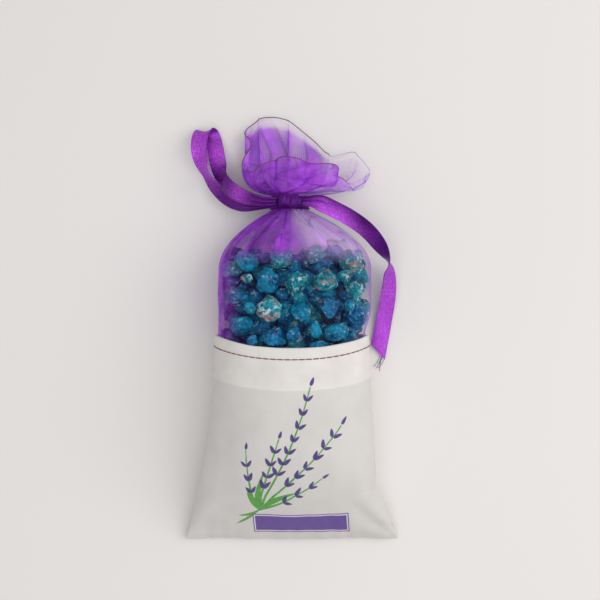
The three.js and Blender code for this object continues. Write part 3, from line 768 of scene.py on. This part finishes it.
def organza_base(across, along, front):
    """The organza without its folds: up from the hem, in at the neck, out and over to the ruffle's mouth."""
    heights = np.interp(along, [0, BODY_END, NECK_END], [POCKET_HEIGHT - ORGANZA_TUCK, NECK_LOW, NECK_HIGH])
    inset = ORGANZA_INSET + ORGANZA_THICK / 2
    even = even_angles(heights, across, inset, front)
    turn = math.pi * (1 - across) if front else math.pi * (1 + across)
    angles = mix(even, turn[None, :], ease(heights, SHOULDER_HEIGHT - 20, NECK_LOW)[:, None])
    start = skin(heights[:, None], angles, inset, CLEARANCE, front)
    mouth = spline(MOUTH, (angles / (2 * math.pi)) % 1, closed=True) + NECK
    middle = mix(start, mouth, np.array([RUFFLE_SWELL, RUFFLE_RISE, RUFFLE_SWELL]))
    middle[..., 2] += RUFFLE_CROWN * np.maximum(0, np.sin(angles))
    t = np.clip((along - NECK_END) / (1 - NECK_END), 0, 1)[:, None, None]
    return (1 - t) ** 2 * start + 2 * t * (1 - t) * middle + t**2 * mouth


FOLD_SHARE = 0.06  # the neck's folds are this share of the cloth's spread deep,
FOLD_DEPTH = 2.6  # up to this depth
PLEATS = 13  # fine ones beside the ribbon
PLEAT_DEPTH = 0.9
PLEAT_LEAN = 0.35
PLEAT_REACH = 9.0
CRUMPLES = ((1.4, 8, 3), (0.6, 3.6, 8))  # height, size and step of the seed, in the ruffle
SLACK = 0.35  # on the body,
LEFT_SLACK = 0.8  # and along its left edge


def organza_surface(across, along, front):
    """The organza with the folds that the neck draws it into, laid over each other in the ruffle."""
    points = organza_base(across, along, front)
    normals, sideways = grid_normals(points)
    axis = points.copy()
    axis[..., 0], axis[..., 2] = NECK[0], NECK[2]
    outward = normals * np.sign(np.median(np.sum(normals * (points - axis), axis=-1)))
    coarse = organza_base(np.linspace(0, 1, 41), along, front)
    spread = np.linalg.norm(np.diff(coarse, axis=1), axis=2).sum(axis=1)[:, None]

    u, v = across[None, :], along[:, None]
    seed, folds = (21.3, 5.5) if front else (37.9, 5.0)
    seam = ease(u, 0, 0.06) * (1 - ease(u, 0.94, 1))
    drawn = ease(v, BODY_END - 0.22, BODY_END)
    in_ruffle = ease(v, NECK_END, NECK_END + 0.15)
    phase = 2 * math.pi * (folds * u + 0.4 * ripple(u * 5, 0 * u, 0 * u, 1, seed))
    push = np.minimum(FOLD_SHARE * spread, FOLD_DEPTH) * drawn * (np.cos(phase) - 1) / 2
    lean = spread * drawn * mix(FOLD_SHARE, 0.022, ease(v, 0.8, 0.97)) * np.sin(phase)
    fine = 2 * math.pi * (PLEATS * u + 0.6 * ripple(u * 9, 0 * u, 0 * u, 1, seed + 7))
    near = np.exp(-np.abs(v - (BODY_END + NECK_END) / 2) * ORGANZA_CUT[1] / PLEAT_REACH)
    push = push + PLEAT_DEPTH * near * (np.cos(fine) - 1) / 2
    lean = lean + PLEAT_LEAN * near * np.sin(fine)
    x, y = u * ORGANZA_CUT[0] + 0 * v, v * ORGANZA_CUT[1] + 0 * u
    crumple = sum(high * ripple(x, y, 0 * x, size, seed + step) for high, size, step in CRUMPLES)
    slack = SLACK * ripple(x, y * 0.4, 0 * x, 11, seed + 6)
    slack = slack + LEFT_SLACK * np.exp(-((u / 0.2) ** 2)) * ripple(x, y * 0.3, 0 * x, 4, seed + 5)
    push = seam * (push + crumple * in_ruffle + slack * (1 - drawn))
    placed = points + outward * push[..., None] + sideways * (seam * lean)[..., None]
    placed[..., 2] = np.maximum(placed[..., 2], LOWEST)
    return placed


# Layers' worth of organza that lie pushed together
LEFT_LAYERS = 4.8  # along the body's left edge
RIGHT_LAYERS = 0.3  # and along its right edge
SHOULDER_LAYERS = 3.8  # below the neck
RUFFLE_LAYERS = 3.0
BACK_RUFFLE_LAYERS = (24.0, 9.0)  # at its left edge, and further right
FLAP_LAYERS = 0.7  # the ruffle's flap on the right


def bunching(u, v, front):
    """How many layers' worth of cloth lies pushed together at a place, and where it lies single, which the
    organza paints pale lilac as painted light.
    """
    flap = ease(u, 0.64, 0.86) if front else ease(u, 0.6, 0.72)
    right = ease(u, 0.5, 0.6)
    shoulder = mix(SHOULDER_LAYERS, 2.8 if front else 0.2, right) * ease(v, 0.4, 0.52)
    body = (0.03 if front else 0.5) + LEFT_LAYERS * np.exp(-((u / 0.13) ** 2))
    body = body + RIGHT_LAYERS * ease(u, 0.86, 1) + shoulder
    lip = 0 if front else ease(v, 0.968, 0.982) * ease(u, 0.12, 0.24)
    ruffle = RUFFLE_LAYERS if front else mix(*BACK_RUFFLE_LAYERS, ease(u, 0.1, 0.3))
    ruffle = mix(ruffle, FLAP_LAYERS, flap) * (1 - 0.9 * lip)
    single = np.maximum(flap, 0.8 * lip + (0 if front else 0.2))
    above = ease(v, NECK_END - 0.03, NECK_END + 0.03)
    return mix(body, ruffle, above), mix(right, single, above)


def store_gathering(mesh, front):
    """Stores how much cut cloth lies in each patch, which makes it less sheer, its creases, which the
    material darkens as painted shade, and where it lies single, which it paints paler as painted light.
    """
    cut = ORGANZA_CUT[0] * ORGANZA_CUT[1] * MM * MM / len(mesh.polygons)
    layers = np.zeros(len(mesh.vertices))
    hits = np.zeros(len(mesh.vertices))
    for face in mesh.polygons:
        share = min(cut / max(face.area, 1e-12), 3.0)
        for index in face.vertices:
            layers[index] += share
            hits[index] += 1
    u, v = flat_places(mesh).T
    x, y, seed = u * ORGANZA_CUT[0], v * ORGANZA_CUT[1], 51.7 if front else 63.1
    streaks = 0.5 * ripple(x, 0.15 * y, 0 * x, 2.2, seed + 9) * (1 - ease(v, 0.6, 0.7))
    lie = ripple(x, 0.7 * y, 0 * x, 8, seed + 22)
    loose = ease(v, 0.4, 0.5)
    folded = (ease(lie, -0.03, 0.03) - 0.5) * loose
    patchy = 1 + 0.6 * ripple(x, y, 0 * x, 6, seed) + streaks + 0.7 * folded
    bunched, single = bunching(u, v, front)
    store(mesh, "gathered", layers / np.maximum(hits, 1) * bunched * np.maximum(patchy, 0.2))
    store(mesh, "single", single)
    store(mesh, "crease", np.exp(-((lie / 0.05) ** 2)) * loose)


ORGANZA = organza_material()


def organza_panel(front):
    side = "front" if front else "back"
    bm = grid_cloth(*ORGANZA_GRID, lambda u, v: organza_surface(u, v, front), flip=not front)
    bmesh.ops.recalc_face_normals(bm, faces=bm.faces)
    piece = new_piece(f"organza_{side}", bm, ORGANZA, [f"organza_{side}_panel"])
    store_gathering(piece.data, front)
    return piece


organza_front = organza_panel(True)
organza_panel(False)


# Granules
def granule_material():
    material, tree, shader = new_material("dyed_granule")
    hue = object_noise(tree, 160.0, 2.0)
    grain = object_noise(tree, 900.0, 4.0, 0.6)
    crust = object_noise(tree, 420.0, 4.0, 0.65)
    rust = object_noise(tree, 210.0, 3.0, 0.6, 0.6)
    tint = stored(tree, "tint")
    greenish, bluish = limits(tree, tint, 0.48, 0.62, 1.0, 0.0), limits(tree, tint, 0.62, 1.0)
    deep = blend(tree, bluish, blend(tree, greenish, rgb(0, 76, 116), rgb(0, 80, 100)), rgb(6, 46, 102))
    light = blend(tree, bluish, blend(tree, greenish, rgb(0, 132, 168), rgb(4, 138, 152)), rgb(12, 94, 152))
    teal = blend(tree, limits(tree, hue, 0.35, 0.65), deep, light)
    teal = blend(tree, limits(tree, grain, 0.47, 0.7, 0.0, 0.5), teal, rgb(30, 178, 204))
    teal = blend(tree, limits(tree, grain, 0.46, 0.28, 0.0, 0.75), teal, rgb(2, 30, 62))
    speck = calc(tree, "MULTIPLY", calc(tree, "SUBTRACT", grain, 0.5), 0.5)
    crusted = limits(tree, tint, 0.52, 0.56, 0.03, -0.03)
    white_level = calc(tree, "ADD", calc(tree, "ADD", crust, speck), crusted)
    white_level = calc(tree, "ADD", white_level, limits(tree, tint, 0.0, 0.3, 0.06, 0.0))
    colour = blend(tree, limits(tree, white_level, 0.57, 0.72, 0.0, 0.85), teal, rgb(196, 214, 222))
    rust_level = calc(tree, "ADD", rust, limits(tree, tint, 0.3, 0.42, 0.13, 0.0))
    colour = blend(tree, limits(tree, rust_level, 0.66, 0.76, 0.0, 0.75), colour, rgb(152, 98, 84))
    # Painted shade: tints above 1.2, given to the gaps between the heap's lumps, turn dark navy.
    colour = blend(tree, limits(tree, tint, 1.2, 1.6), colour, rgb(4, 16, 40))
    fill(tree, shader, {"Base Color": colour, "Specular IOR Level": 0.14,
                        "Roughness": limits(tree, grain, 0.3, 0.7, 0.3, 0.6)})
    bump(tree, shader, calc(tree, "ADD", grain, crust), 0.6, 0.6)
    return material


GRANULE = granule_material()
FLATS = 9  # struck off each lump
LUMP_GROWTH = 1.16  # makes up for what the flats take
LUMP_TINTS = {"granule_white": 0.05, "granule_copper": 0.32}
TEAL_TINTS = (0.42, 1.0)  # greenish to bluish
FRONT_CLOTH = BVHTree.FromPolygons([v.co for v in organza_front.data.vertices],
                                   [p.vertices for p in organza_front.data.polygons])


def under_cloth(place, level):
    """The place, or one lower down where it would come within the cloth's gap above that level."""
    above = FRONT_CLOTH.ray_cast(Vector((place.x, place.y, level)), Vector((0, 0, 1)))[0]
    if above:
        place.z = min(place.z, above.z - CLOTH_GAP * MM)
    return place


def shape_lump(verts, centre, radius, rng):
    """Turns a ball of points into a chipped lump: flats struck off a wavy ball."""
    seed = rng.uniform(0, 100)
    flats = []
    for _ in range(FLATS):
        way = Vector([rng.gauss(0, 1) for _ in range(3)]).normalized()
        flats.append((way, rng.uniform(0.52, 0.84)))
    turn = Euler([rng.uniform(0, 6.28) for _ in range(3)]).to_matrix()
    stretch = Vector((rng.uniform(1.0, 1.12), rng.uniform(0.86, 1.0), rng.uniform(0.86, 1.0)))
    for vert in verts:
        point = vert.co.normalized()
        point *= 1 + 0.12 * noise.noise(point * 1.3 + Vector((seed, 0, 0)))
        for way, depth in flats:
            over = point.dot(way) - depth
            if over > 0:
                point -= way * over * 0.8
        point *= 1 + 0.07 * noise.noise(point * 3.2 + Vector((0, seed, 0)))
        point = turn @ Vector(a * b for a, b in zip(point, stretch))
        vert.co = under_cloth((Vector(centre) + point * radius * LUMP_GROWTH) * MM, centre[2] * MM)


granule_nodes = sorted(n for n in frame["nodes"] if n.startswith("granule_") and n != "granule_core")
slot_of = {row["node"]: row["material_slot"] for row in frame["record"]["subparts"]}
lump_rng = random.Random(11)
for node_name in granule_nodes:
    low, high = (np.array(c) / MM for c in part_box(node_name))
    centre, radius = (low + high) / 2, float(np.max(high - low)) / 2
    bm = bmesh.new()
    ball = bmesh.ops.create_icosphere(bm, subdivisions=5, radius=1.0)
    shape_lump(ball["verts"], centre, radius, lump_rng)
    slot = slot_of[node_name]
    tint = LUMP_TINTS.get(slot, lump_rng.uniform(*TEAL_TINTS))
    piece = new_piece(node_name.replace("granule", "lump"), bm, GRANULE, [node_name])
    store(piece.data, "tint", [tint] * len(piece.data.vertices))

# Heap behind the front lumps, in millimetres
HEAP_LUMP = 7.0  # sizes of the heap's lumps, their chips and their grit
HEAP_CHIP = 2.6
HEAP_GRIT = 1.1
LUMP_RISE = 3.2  # a lump stands this far out of the gaps,
GAP_DEPTH = 1.4  # and the gaps lie this deep
# painted shade: the tint given to the gaps, which the granule material turns dark navy
GAP_SHADE = 1.7
CORE_TINT = 0.8
HEAP_INSET = 2.4  # the heap stays this far inside the bag's skin
HEAP_SPREAD = {"right": 5.0, "left": 4.5}
HEAP_CUTS = 5
HEAP_SMOOTHING = 3


def packing(place):
    """How far a lump of the heap bulges at a place, and its tint, with painted shade in the gaps between
    lumps.
    """
    distances, centres = noise.voronoi(place / HEAP_LUMP)
    between = distances[1] - distances[0]
    dome = math.sqrt(max(0.0, 1 - (distances[0] / 0.85) ** 2)) * min(1.0, 5 * between)
    chips = noise.voronoi(place / HEAP_CHIP)[0]
    bulge = LUMP_RISE * dome - GAP_DEPTH + 0.5 * (chips[1] - chips[0]) + 0.25 * noise.noise(place / HEAP_GRIT)
    tint = mix(GAP_SHADE, 0.62 + 0.38 * noise.cell(centres[0] * 3.7), min(1.0, 4 * between))
    return bulge, tint


def keep_inside(points, clearance):
    """Moves points up, down and sideways, where they need it, to stay that far inside the bag's skin."""
    placed = points - BAG_ORIGIN
    size = cross_size(placed[:, 1])
    above = placed[:, 2] > size["level"]
    squareness = mix(1, np.where(above, FRONT_SQUARENESS, BACK_SQUARENESS), size["flatness"])
    fullness = mix(1, np.where(above, 1, BACK_FULLNESS), size["flatness"])
    half = np.where(placed[:, 0] > size["aside"], size["right"], size["left"])
    depth = np.where(above, size["up"], size["down"])

    def reach(share):
        return (1 - np.minimum(np.abs(share), 0.999) ** (2 / squareness)) ** (squareness / 2)

    aside, rise = placed[:, 0] - size["aside"], placed[:, 2] - size["level"]
    tallest = np.maximum(depth * np.minimum(1, fullness * reach(aside / half)) - clearance, 0)
    rise = np.clip(rise, -tallest, tallest)
    widest = np.maximum(half * reach(rise / depth / fullness) - clearance, 0)
    placed[:, 0] = size["aside"] + np.clip(aside, -widest, widest)
    placed[:, 2] = size["level"] + rise
    return placed + BAG_ORIGIN


def granule_heap():
    """The granules behind the front ones: the core, its upper end packed with chipped lumps."""
    bm = bmesh.new()
    bm.from_mesh(frame["nodes"]["granule_core"].data)
    bmesh.ops.remove_doubles(bm, verts=bm.verts, dist=1e-6)
    hidden = (BAG_ORIGIN[1] + POCKET_HEIGHT - 2 * HEM_STITCH_DROP) * MM
    showing = [edge for edge in bm.edges if max(v.co.y for v in edge.verts) > hidden]
    bmesh.ops.subdivide_edges(bm, edges=showing, cuts=HEAP_CUTS, use_grid_fill=True)
    upper = [vert for vert in bm.verts if vert.co.y > hidden]
    for _ in range(HEAP_SMOOTHING):
        bmesh.ops.smooth_vert(bm, verts=upper, factor=0.5, use_axis_x=True, use_axis_y=True, use_axis_z=True)
    bm.normal_update()
    points = np.array([vert.co for vert in upper]) / MM
    bulges, tints_and_gap_shade = np.array([packing(Vector(point)) for point in points]).T
    moved = points + bulges[:, None] * np.array([vert.normal for vert in upper])
    size = cross_size(points[:, 1] - BAG_ORIGIN[1])
    aside = points[:, 0] - BAG_ORIGIN[0]
    to_right = HEAP_SPREAD["right"] * ease(aside / size["right"], 0.3, 0.66)
    to_left = HEAP_SPREAD["left"] * ease(-aside / size["left"], 0.3, 0.66)
    moved[:, 0] += to_right - to_left
    for vert, point in zip(upper, keep_inside(moved, HEAP_INSET)):
        vert.co = under_cloth(Vector(point) * MM, (BAG_ORIGIN[2] + NECK_LEVEL) * MM)
    # The heap's tints carry painted shade in the gaps between its lumps.
    shades = np.full(len(bm.verts), CORE_TINT)
    bm.verts.index_update()
    shades[[vert.index for vert in upper]] = tints_and_gap_shade
    piece = new_piece("granule_heap", bm, GRANULE, ["granule_core"])
    store(piece.data, "tint", shades)


granule_heap()


# Threads
def thread_material(name, dark, light, roughness, veil=None):
    """Spun thread, which takes the veil's colour where the mesh says it is veiled."""
    material, tree, shader = new_material(name)
    fibre = object_noise(tree, 2600.0, 2.0)
    colour = blend(tree, fibre, dark, light)
    if veil:
        colour = blend(tree, stored(tree, "veiled"), colour, veil)
    rough = limits(tree, fibre, 0.3, 0.7, roughness - 0.1, roughness + 0.1)
    fill(tree, shader, {"Base Color": colour, "Roughness": rough})
    bump(tree, shader, fibre, 0.4, 0.08)
    return material


BROWNS = (rgb(78, 40, 62), rgb(140, 88, 112))
BROWN_THREAD = thread_material("brown_thread", *BROWNS, 0.75)
EDGING_THREAD = thread_material("edging_thread", *BROWNS, 0.75, rgb(204, 184, 224))
WHITE_THREAD = thread_material("white_thread", rgb(200, 196, 192), rgb(232, 228, 225), 0.8)
LILAC_THREAD = thread_material("lilac_thread", rgb(120, 84, 160), rgb(168, 136, 204), 0.6)
PURPLE_THREAD = thread_material("purple_thread", rgb(70, 30, 100), rgb(112, 60, 150), 0.7)

# Stitches: length, gap, thread radius and height of the hump, in millimetres
HEM_STITCH = (2.1, 0.35, 0.19, 0.2)
SIDE_STITCH = (1.9, 0.4, 0.17, 0.25)
BOTTOM_STITCH = (2.0, 0.4, 0.17, 0.3)
STITCH_DIP = 0.12  # both ends of a stitch go into the cloth
COTTON_FACE = 0.24  # from the cotton's middle to where its stitches lie
SEAM_THREAD = 0.25  # radius of the thread that the side seams leave room for
SIDE_SEAM_STEPS = 120
BOTTOM_SEAM_STEPS = 160
BOTTOM_SEAM_HALF = 38.2
EDGING_RADIUS = 0.17
ORGANZA_SEAM_RADIUS = 0.13
FRAY_RADIUS = 0.08
FRAY_THREADS = 5


def stitches(line, outward, length, gap, radius, lift):
    """Running stitches along a line of surface points: short humps of thread that dip in at both ends."""
    bm = bmesh.new()
    steps = np.linalg.norm(np.diff(line, axis=0), axis=1)
    travelled = np.concatenate([[0], np.cumsum(steps)])
    shares = np.linspace(0, 1, 7)
    hump = (lift * np.sin(math.pi * shares) ** 0.5 - STITCH_DIP)[:, None]
    start = gap
    while start + length < travelled[-1]:
        at = start + shares * length
        spot = np.stack([np.interp(at, travelled, line[:, k]) for k in range(3)], 1)
        up = unit(np.stack([np.interp(at, travelled, outward[:, k]) for k in range(3)], 1))
        join(bm, tube(spot + up * hump, radius, 6))
        start += length + gap
    return bm


def cotton_line(height, front):
    """A line across the outside of a cotton panel at a height, with its outward directions."""
    across = np.linspace(0.004, 0.996, 241)
    along = np.array([height - 0.6, height, height + 0.6]) / COTTON_CUT[1]
    points = cotton_surface(across, along, front)
    normals, _ = grid_normals(points)
    normals = normals[1] * np.sign(np.sum(normals[..., 2])) * (1 if front else -1)
    return points[1] + normals * COTTON_FACE, normals


for side, front in (("front", True), ("back", False)):
    line, outward = cotton_line(POCKET_HEIGHT - HEM_STITCH_DROP, front)
    new_piece(f"hem_topstitch_{side}", stitches(line, outward, *HEM_STITCH), BROWN_THREAD,
              [f"hem_stitch_{side}"])

for side, angle, edge, way in (("left", math.pi, 0.0, -1.0), ("right", 0.0, 1.0, 1.0)):
    heights = np.linspace(1.0, POCKET_HEIGHT - 0.5, SIDE_SEAM_STEPS)
    line = skin(heights, np.full(SIDE_SEAM_STEPS, angle), COTTON_THICK + SEAM_THREAD, 0, True)
    outward = np.tile([way, 0, 0], (SIDE_SEAM_STEPS, 1))
    new_piece(f"cotton_seam_{side}", stitches(line, outward, *SIDE_STITCH), WHITE_THREAD,
              [f"cotton_{side}_seam"])
    cloth = organza_surface(np.array([edge, abs(edge - 0.01)]), np.linspace(0.02, 0.995, 200), True)[:, 0]
    new_piece(f"organza_seam_{side}", tube(cloth, ORGANZA_SEAM_RADIUS, 7), LILAC_THREAD,
              [f"organza_{side}_seam"])

bottom = skin(np.array([0.35]), np.array([0.0]), 0, 0, True)[0]
line = np.tile(bottom + np.array([0, 0.2, 0]), (BOTTOM_SEAM_STEPS, 1))
line[:, 0] = np.linspace(-BOTTOM_SEAM_HALF, BOTTOM_SEAM_HALF, BOTTOM_SEAM_STEPS)
outward = np.tile([0, -1.0, 0.0], (BOTTOM_SEAM_STEPS, 1))
new_piece("bottom_seam", stitches(line, outward, *BOTTOM_STITCH), WHITE_THREAD,
          ["cotton_bottom_seam"])

# Edging of the mouth, wrapped in the sheer lip where the flap on the right turns it under
for side, front, turned_under in (("front", True, 20.5), ("back", False, 13.5)):
    lip = organza_surface(np.linspace(0, 1, 231), np.array([0.98, 1.0]), front)[1]
    piece = new_piece(f"edging_{side}", tube(lip, EDGING_RADIUS, 7), EDGING_THREAD,
                      [f"mouth_edging_{side}"])
    aside = np.array([vert.co.x for vert in piece.data.vertices]) / MM - NECK[0]
    store(piece.data, "veiled", ease(aside, turned_under, turned_under + 2))


# Ribbon round the neck and the knot
WRAP_OUT = 0.62  # from the neck to the middle of the ribbon's ridges
WRAP_GRID = (18, 120)
KNOT_GRID = (60, 72)
KNOT_ENDS = 0.14  # girth left at both ends of the knot


def neck_wrap():
    """The ribbon bunched up round the neck, in ridges that run along it."""
    def place(across, along):
        share = across[None, :]
        turn = along[:, None] * 2 * math.pi
        side = (share - 0.5) * WRAP_WIDTH
        ridges = 0.22 * np.cos(share * 5 * math.pi + 0.6 * np.sin(turn)) + 0.1 * np.sin(3 * turn + 6 * share)
        grow = WRAP_OUT + ridges
        x = (NECK_WIDTH / 2 + grow) * np.cos(turn)
        z = (NECK_DEPTH / 2 + grow) * np.sin(turn)
        return np.stack(np.broadcast_arrays(x, side, z), -1) + NECK

    bm = grid_cloth(*WRAP_GRID, place)
    bmesh.ops.remove_doubles(bm, verts=bm.verts, dist=1e-6)
    bmesh.ops.recalc_face_normals(bm, faces=bm.faces)
    # The wrap stores no sheen, so the satin paints it in its dark, shaded purple.
    piece = new_piece("satin_wrap", bm, SATIN, ["ribbon_neck_wrap"])
    thicken(piece, RIBBON_SHOWN_THICK, -1.0)


neck_wrap()


def ribbon_knot():
    """A tightened half bow: a blunt roll with slanting folds."""
    low, high = (np.array(c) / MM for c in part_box("ribbon_knot"))
    half = (high - low) / 2

    def place(across, along):
        turn = along[:, None] * 2 * math.pi
        x = 2 * across[None, :] - 1
        girth = np.sqrt(np.maximum(1 - np.abs(x) ** 3.2, 0)) * (1 - KNOT_ENDS) + KNOT_ENDS
        fold = 0.13 * np.cos(6 * x + turn + 2.4) + 0.05 * np.cos(17 * x + 2 * turn)
        girth = girth * (1 + fold)
        y = half[1] * girth * np.cos(turn)
        z = half[2] * girth * np.sin(turn)
        return np.stack(np.broadcast_arrays(x * half[0], y, z), -1) + KNOT

    bm = grid_cloth(*KNOT_GRID, place)
    close_roll(bm)
    # The knot stores no sheen, so the satin paints it in its dark, shaded purple.
    new_piece("satin_knot", bm, SATIN, ["ribbon_knot"])


ribbon_knot()


def frayed_end():
    """A few loose threads at the longer corner of the cut end."""
    rng = random.Random(5)
    end, wide, along = tail_line[-1], tail_wide[-1], tail_along[-1]
    tilt = -TAIL_SLANT / RIBBON_WIDTH
    shares = np.linspace(0, 1, 9)[:, None]
    bm = bmesh.new()
    for _ in range(FRAY_THREADS):
        side = rng.uniform(-0.95, -0.3) * RIBBON_WIDTH / 2
        start = end + wide * side + along * (side * tilt - 0.4)
        reach = rng.uniform(2.0, 6.5)
        sway = rng.uniform(-0.6, 1.6)
        line = start + along * reach * shares + wide * sway * shares**2
        line[:, 2] = np.maximum(line[:, 2] - 0.5 * shares[:, 0], 0.2)
        join(bm, tube(line, FRAY_RADIUS, 5))
    new_piece("ribbon_fray", bm, PURPLE_THREAD)


frayed_end()


# Table, light and picture settings
TABLE_HALF = 4.0  # in metres
SKY_CAST = 0.46  # strength of the studio's light on the things,
SKY_SEEN = 0.74  # and where the camera or a mirrored ray looks into it


def table():
    bm = bmesh.new()
    bmesh.ops.create_grid(bm, x_segments=1, y_segments=1, size=TABLE_HALF)
    mesh = bpy.data.meshes.new("table")
    bm.to_mesh(mesh)
    bm.free()
    material, tree, shader = new_material("pale_table")
    tone = object_noise(tree, 3.0, 2.0)
    colour = blend(tree, tone, rgb(228, 225, 223), rgb(234, 231, 229))
    fill(tree, shader, {"Base Color": colour, "Roughness": 0.75})
    mesh.materials.append(material)
    floor = bpy.data.objects.new("table", mesh)
    bpy.context.collection.objects.link(floor)


def lamp(name, place, size, power, colour):
    """A square lamp that points at the middle of the bag."""
    data = bpy.data.lights.new(name, "AREA")
    data.energy = power
    data.size = size * MM
    data.color = colour
    made = bpy.data.objects.new(name, data)
    made.location = Vector(place) * MM
    made.rotation_euler = (Vector() - Vector(place)).to_track_quat("-Z", "Y").to_euler()
    bpy.context.collection.objects.link(made)


table()
lamp("window_light", (660, 160, 640), size=700, power=3.6, colour=(1.0, 0.985, 0.97))
lamp("fill_light", (0, -120, 900), size=900, power=3.0, colour=(0.98, 0.985, 1.0))
world = bpy.data.worlds.new("studio")
world.use_nodes = True
sky = world.node_tree
rays = put(sky, "ShaderNodeLightPath").outputs
mirrored = calc(sky, "MAXIMUM", rays["Is Glossy Ray"], rays["Is Transmission Ray"])
seen = calc(sky, "MAXIMUM", rays["Is Camera Ray"], mirrored)
fill(sky, sky.nodes["Background"], {"Color": (1.0, 0.99, 0.98, 1.0),
                                    "Strength": limits(sky, seen, 0.0, 1.0, SKY_CAST, SKY_SEEN)})
bpy.context.scene.world = world
bpy.context.scene.view_settings.view_transform = "Standard"
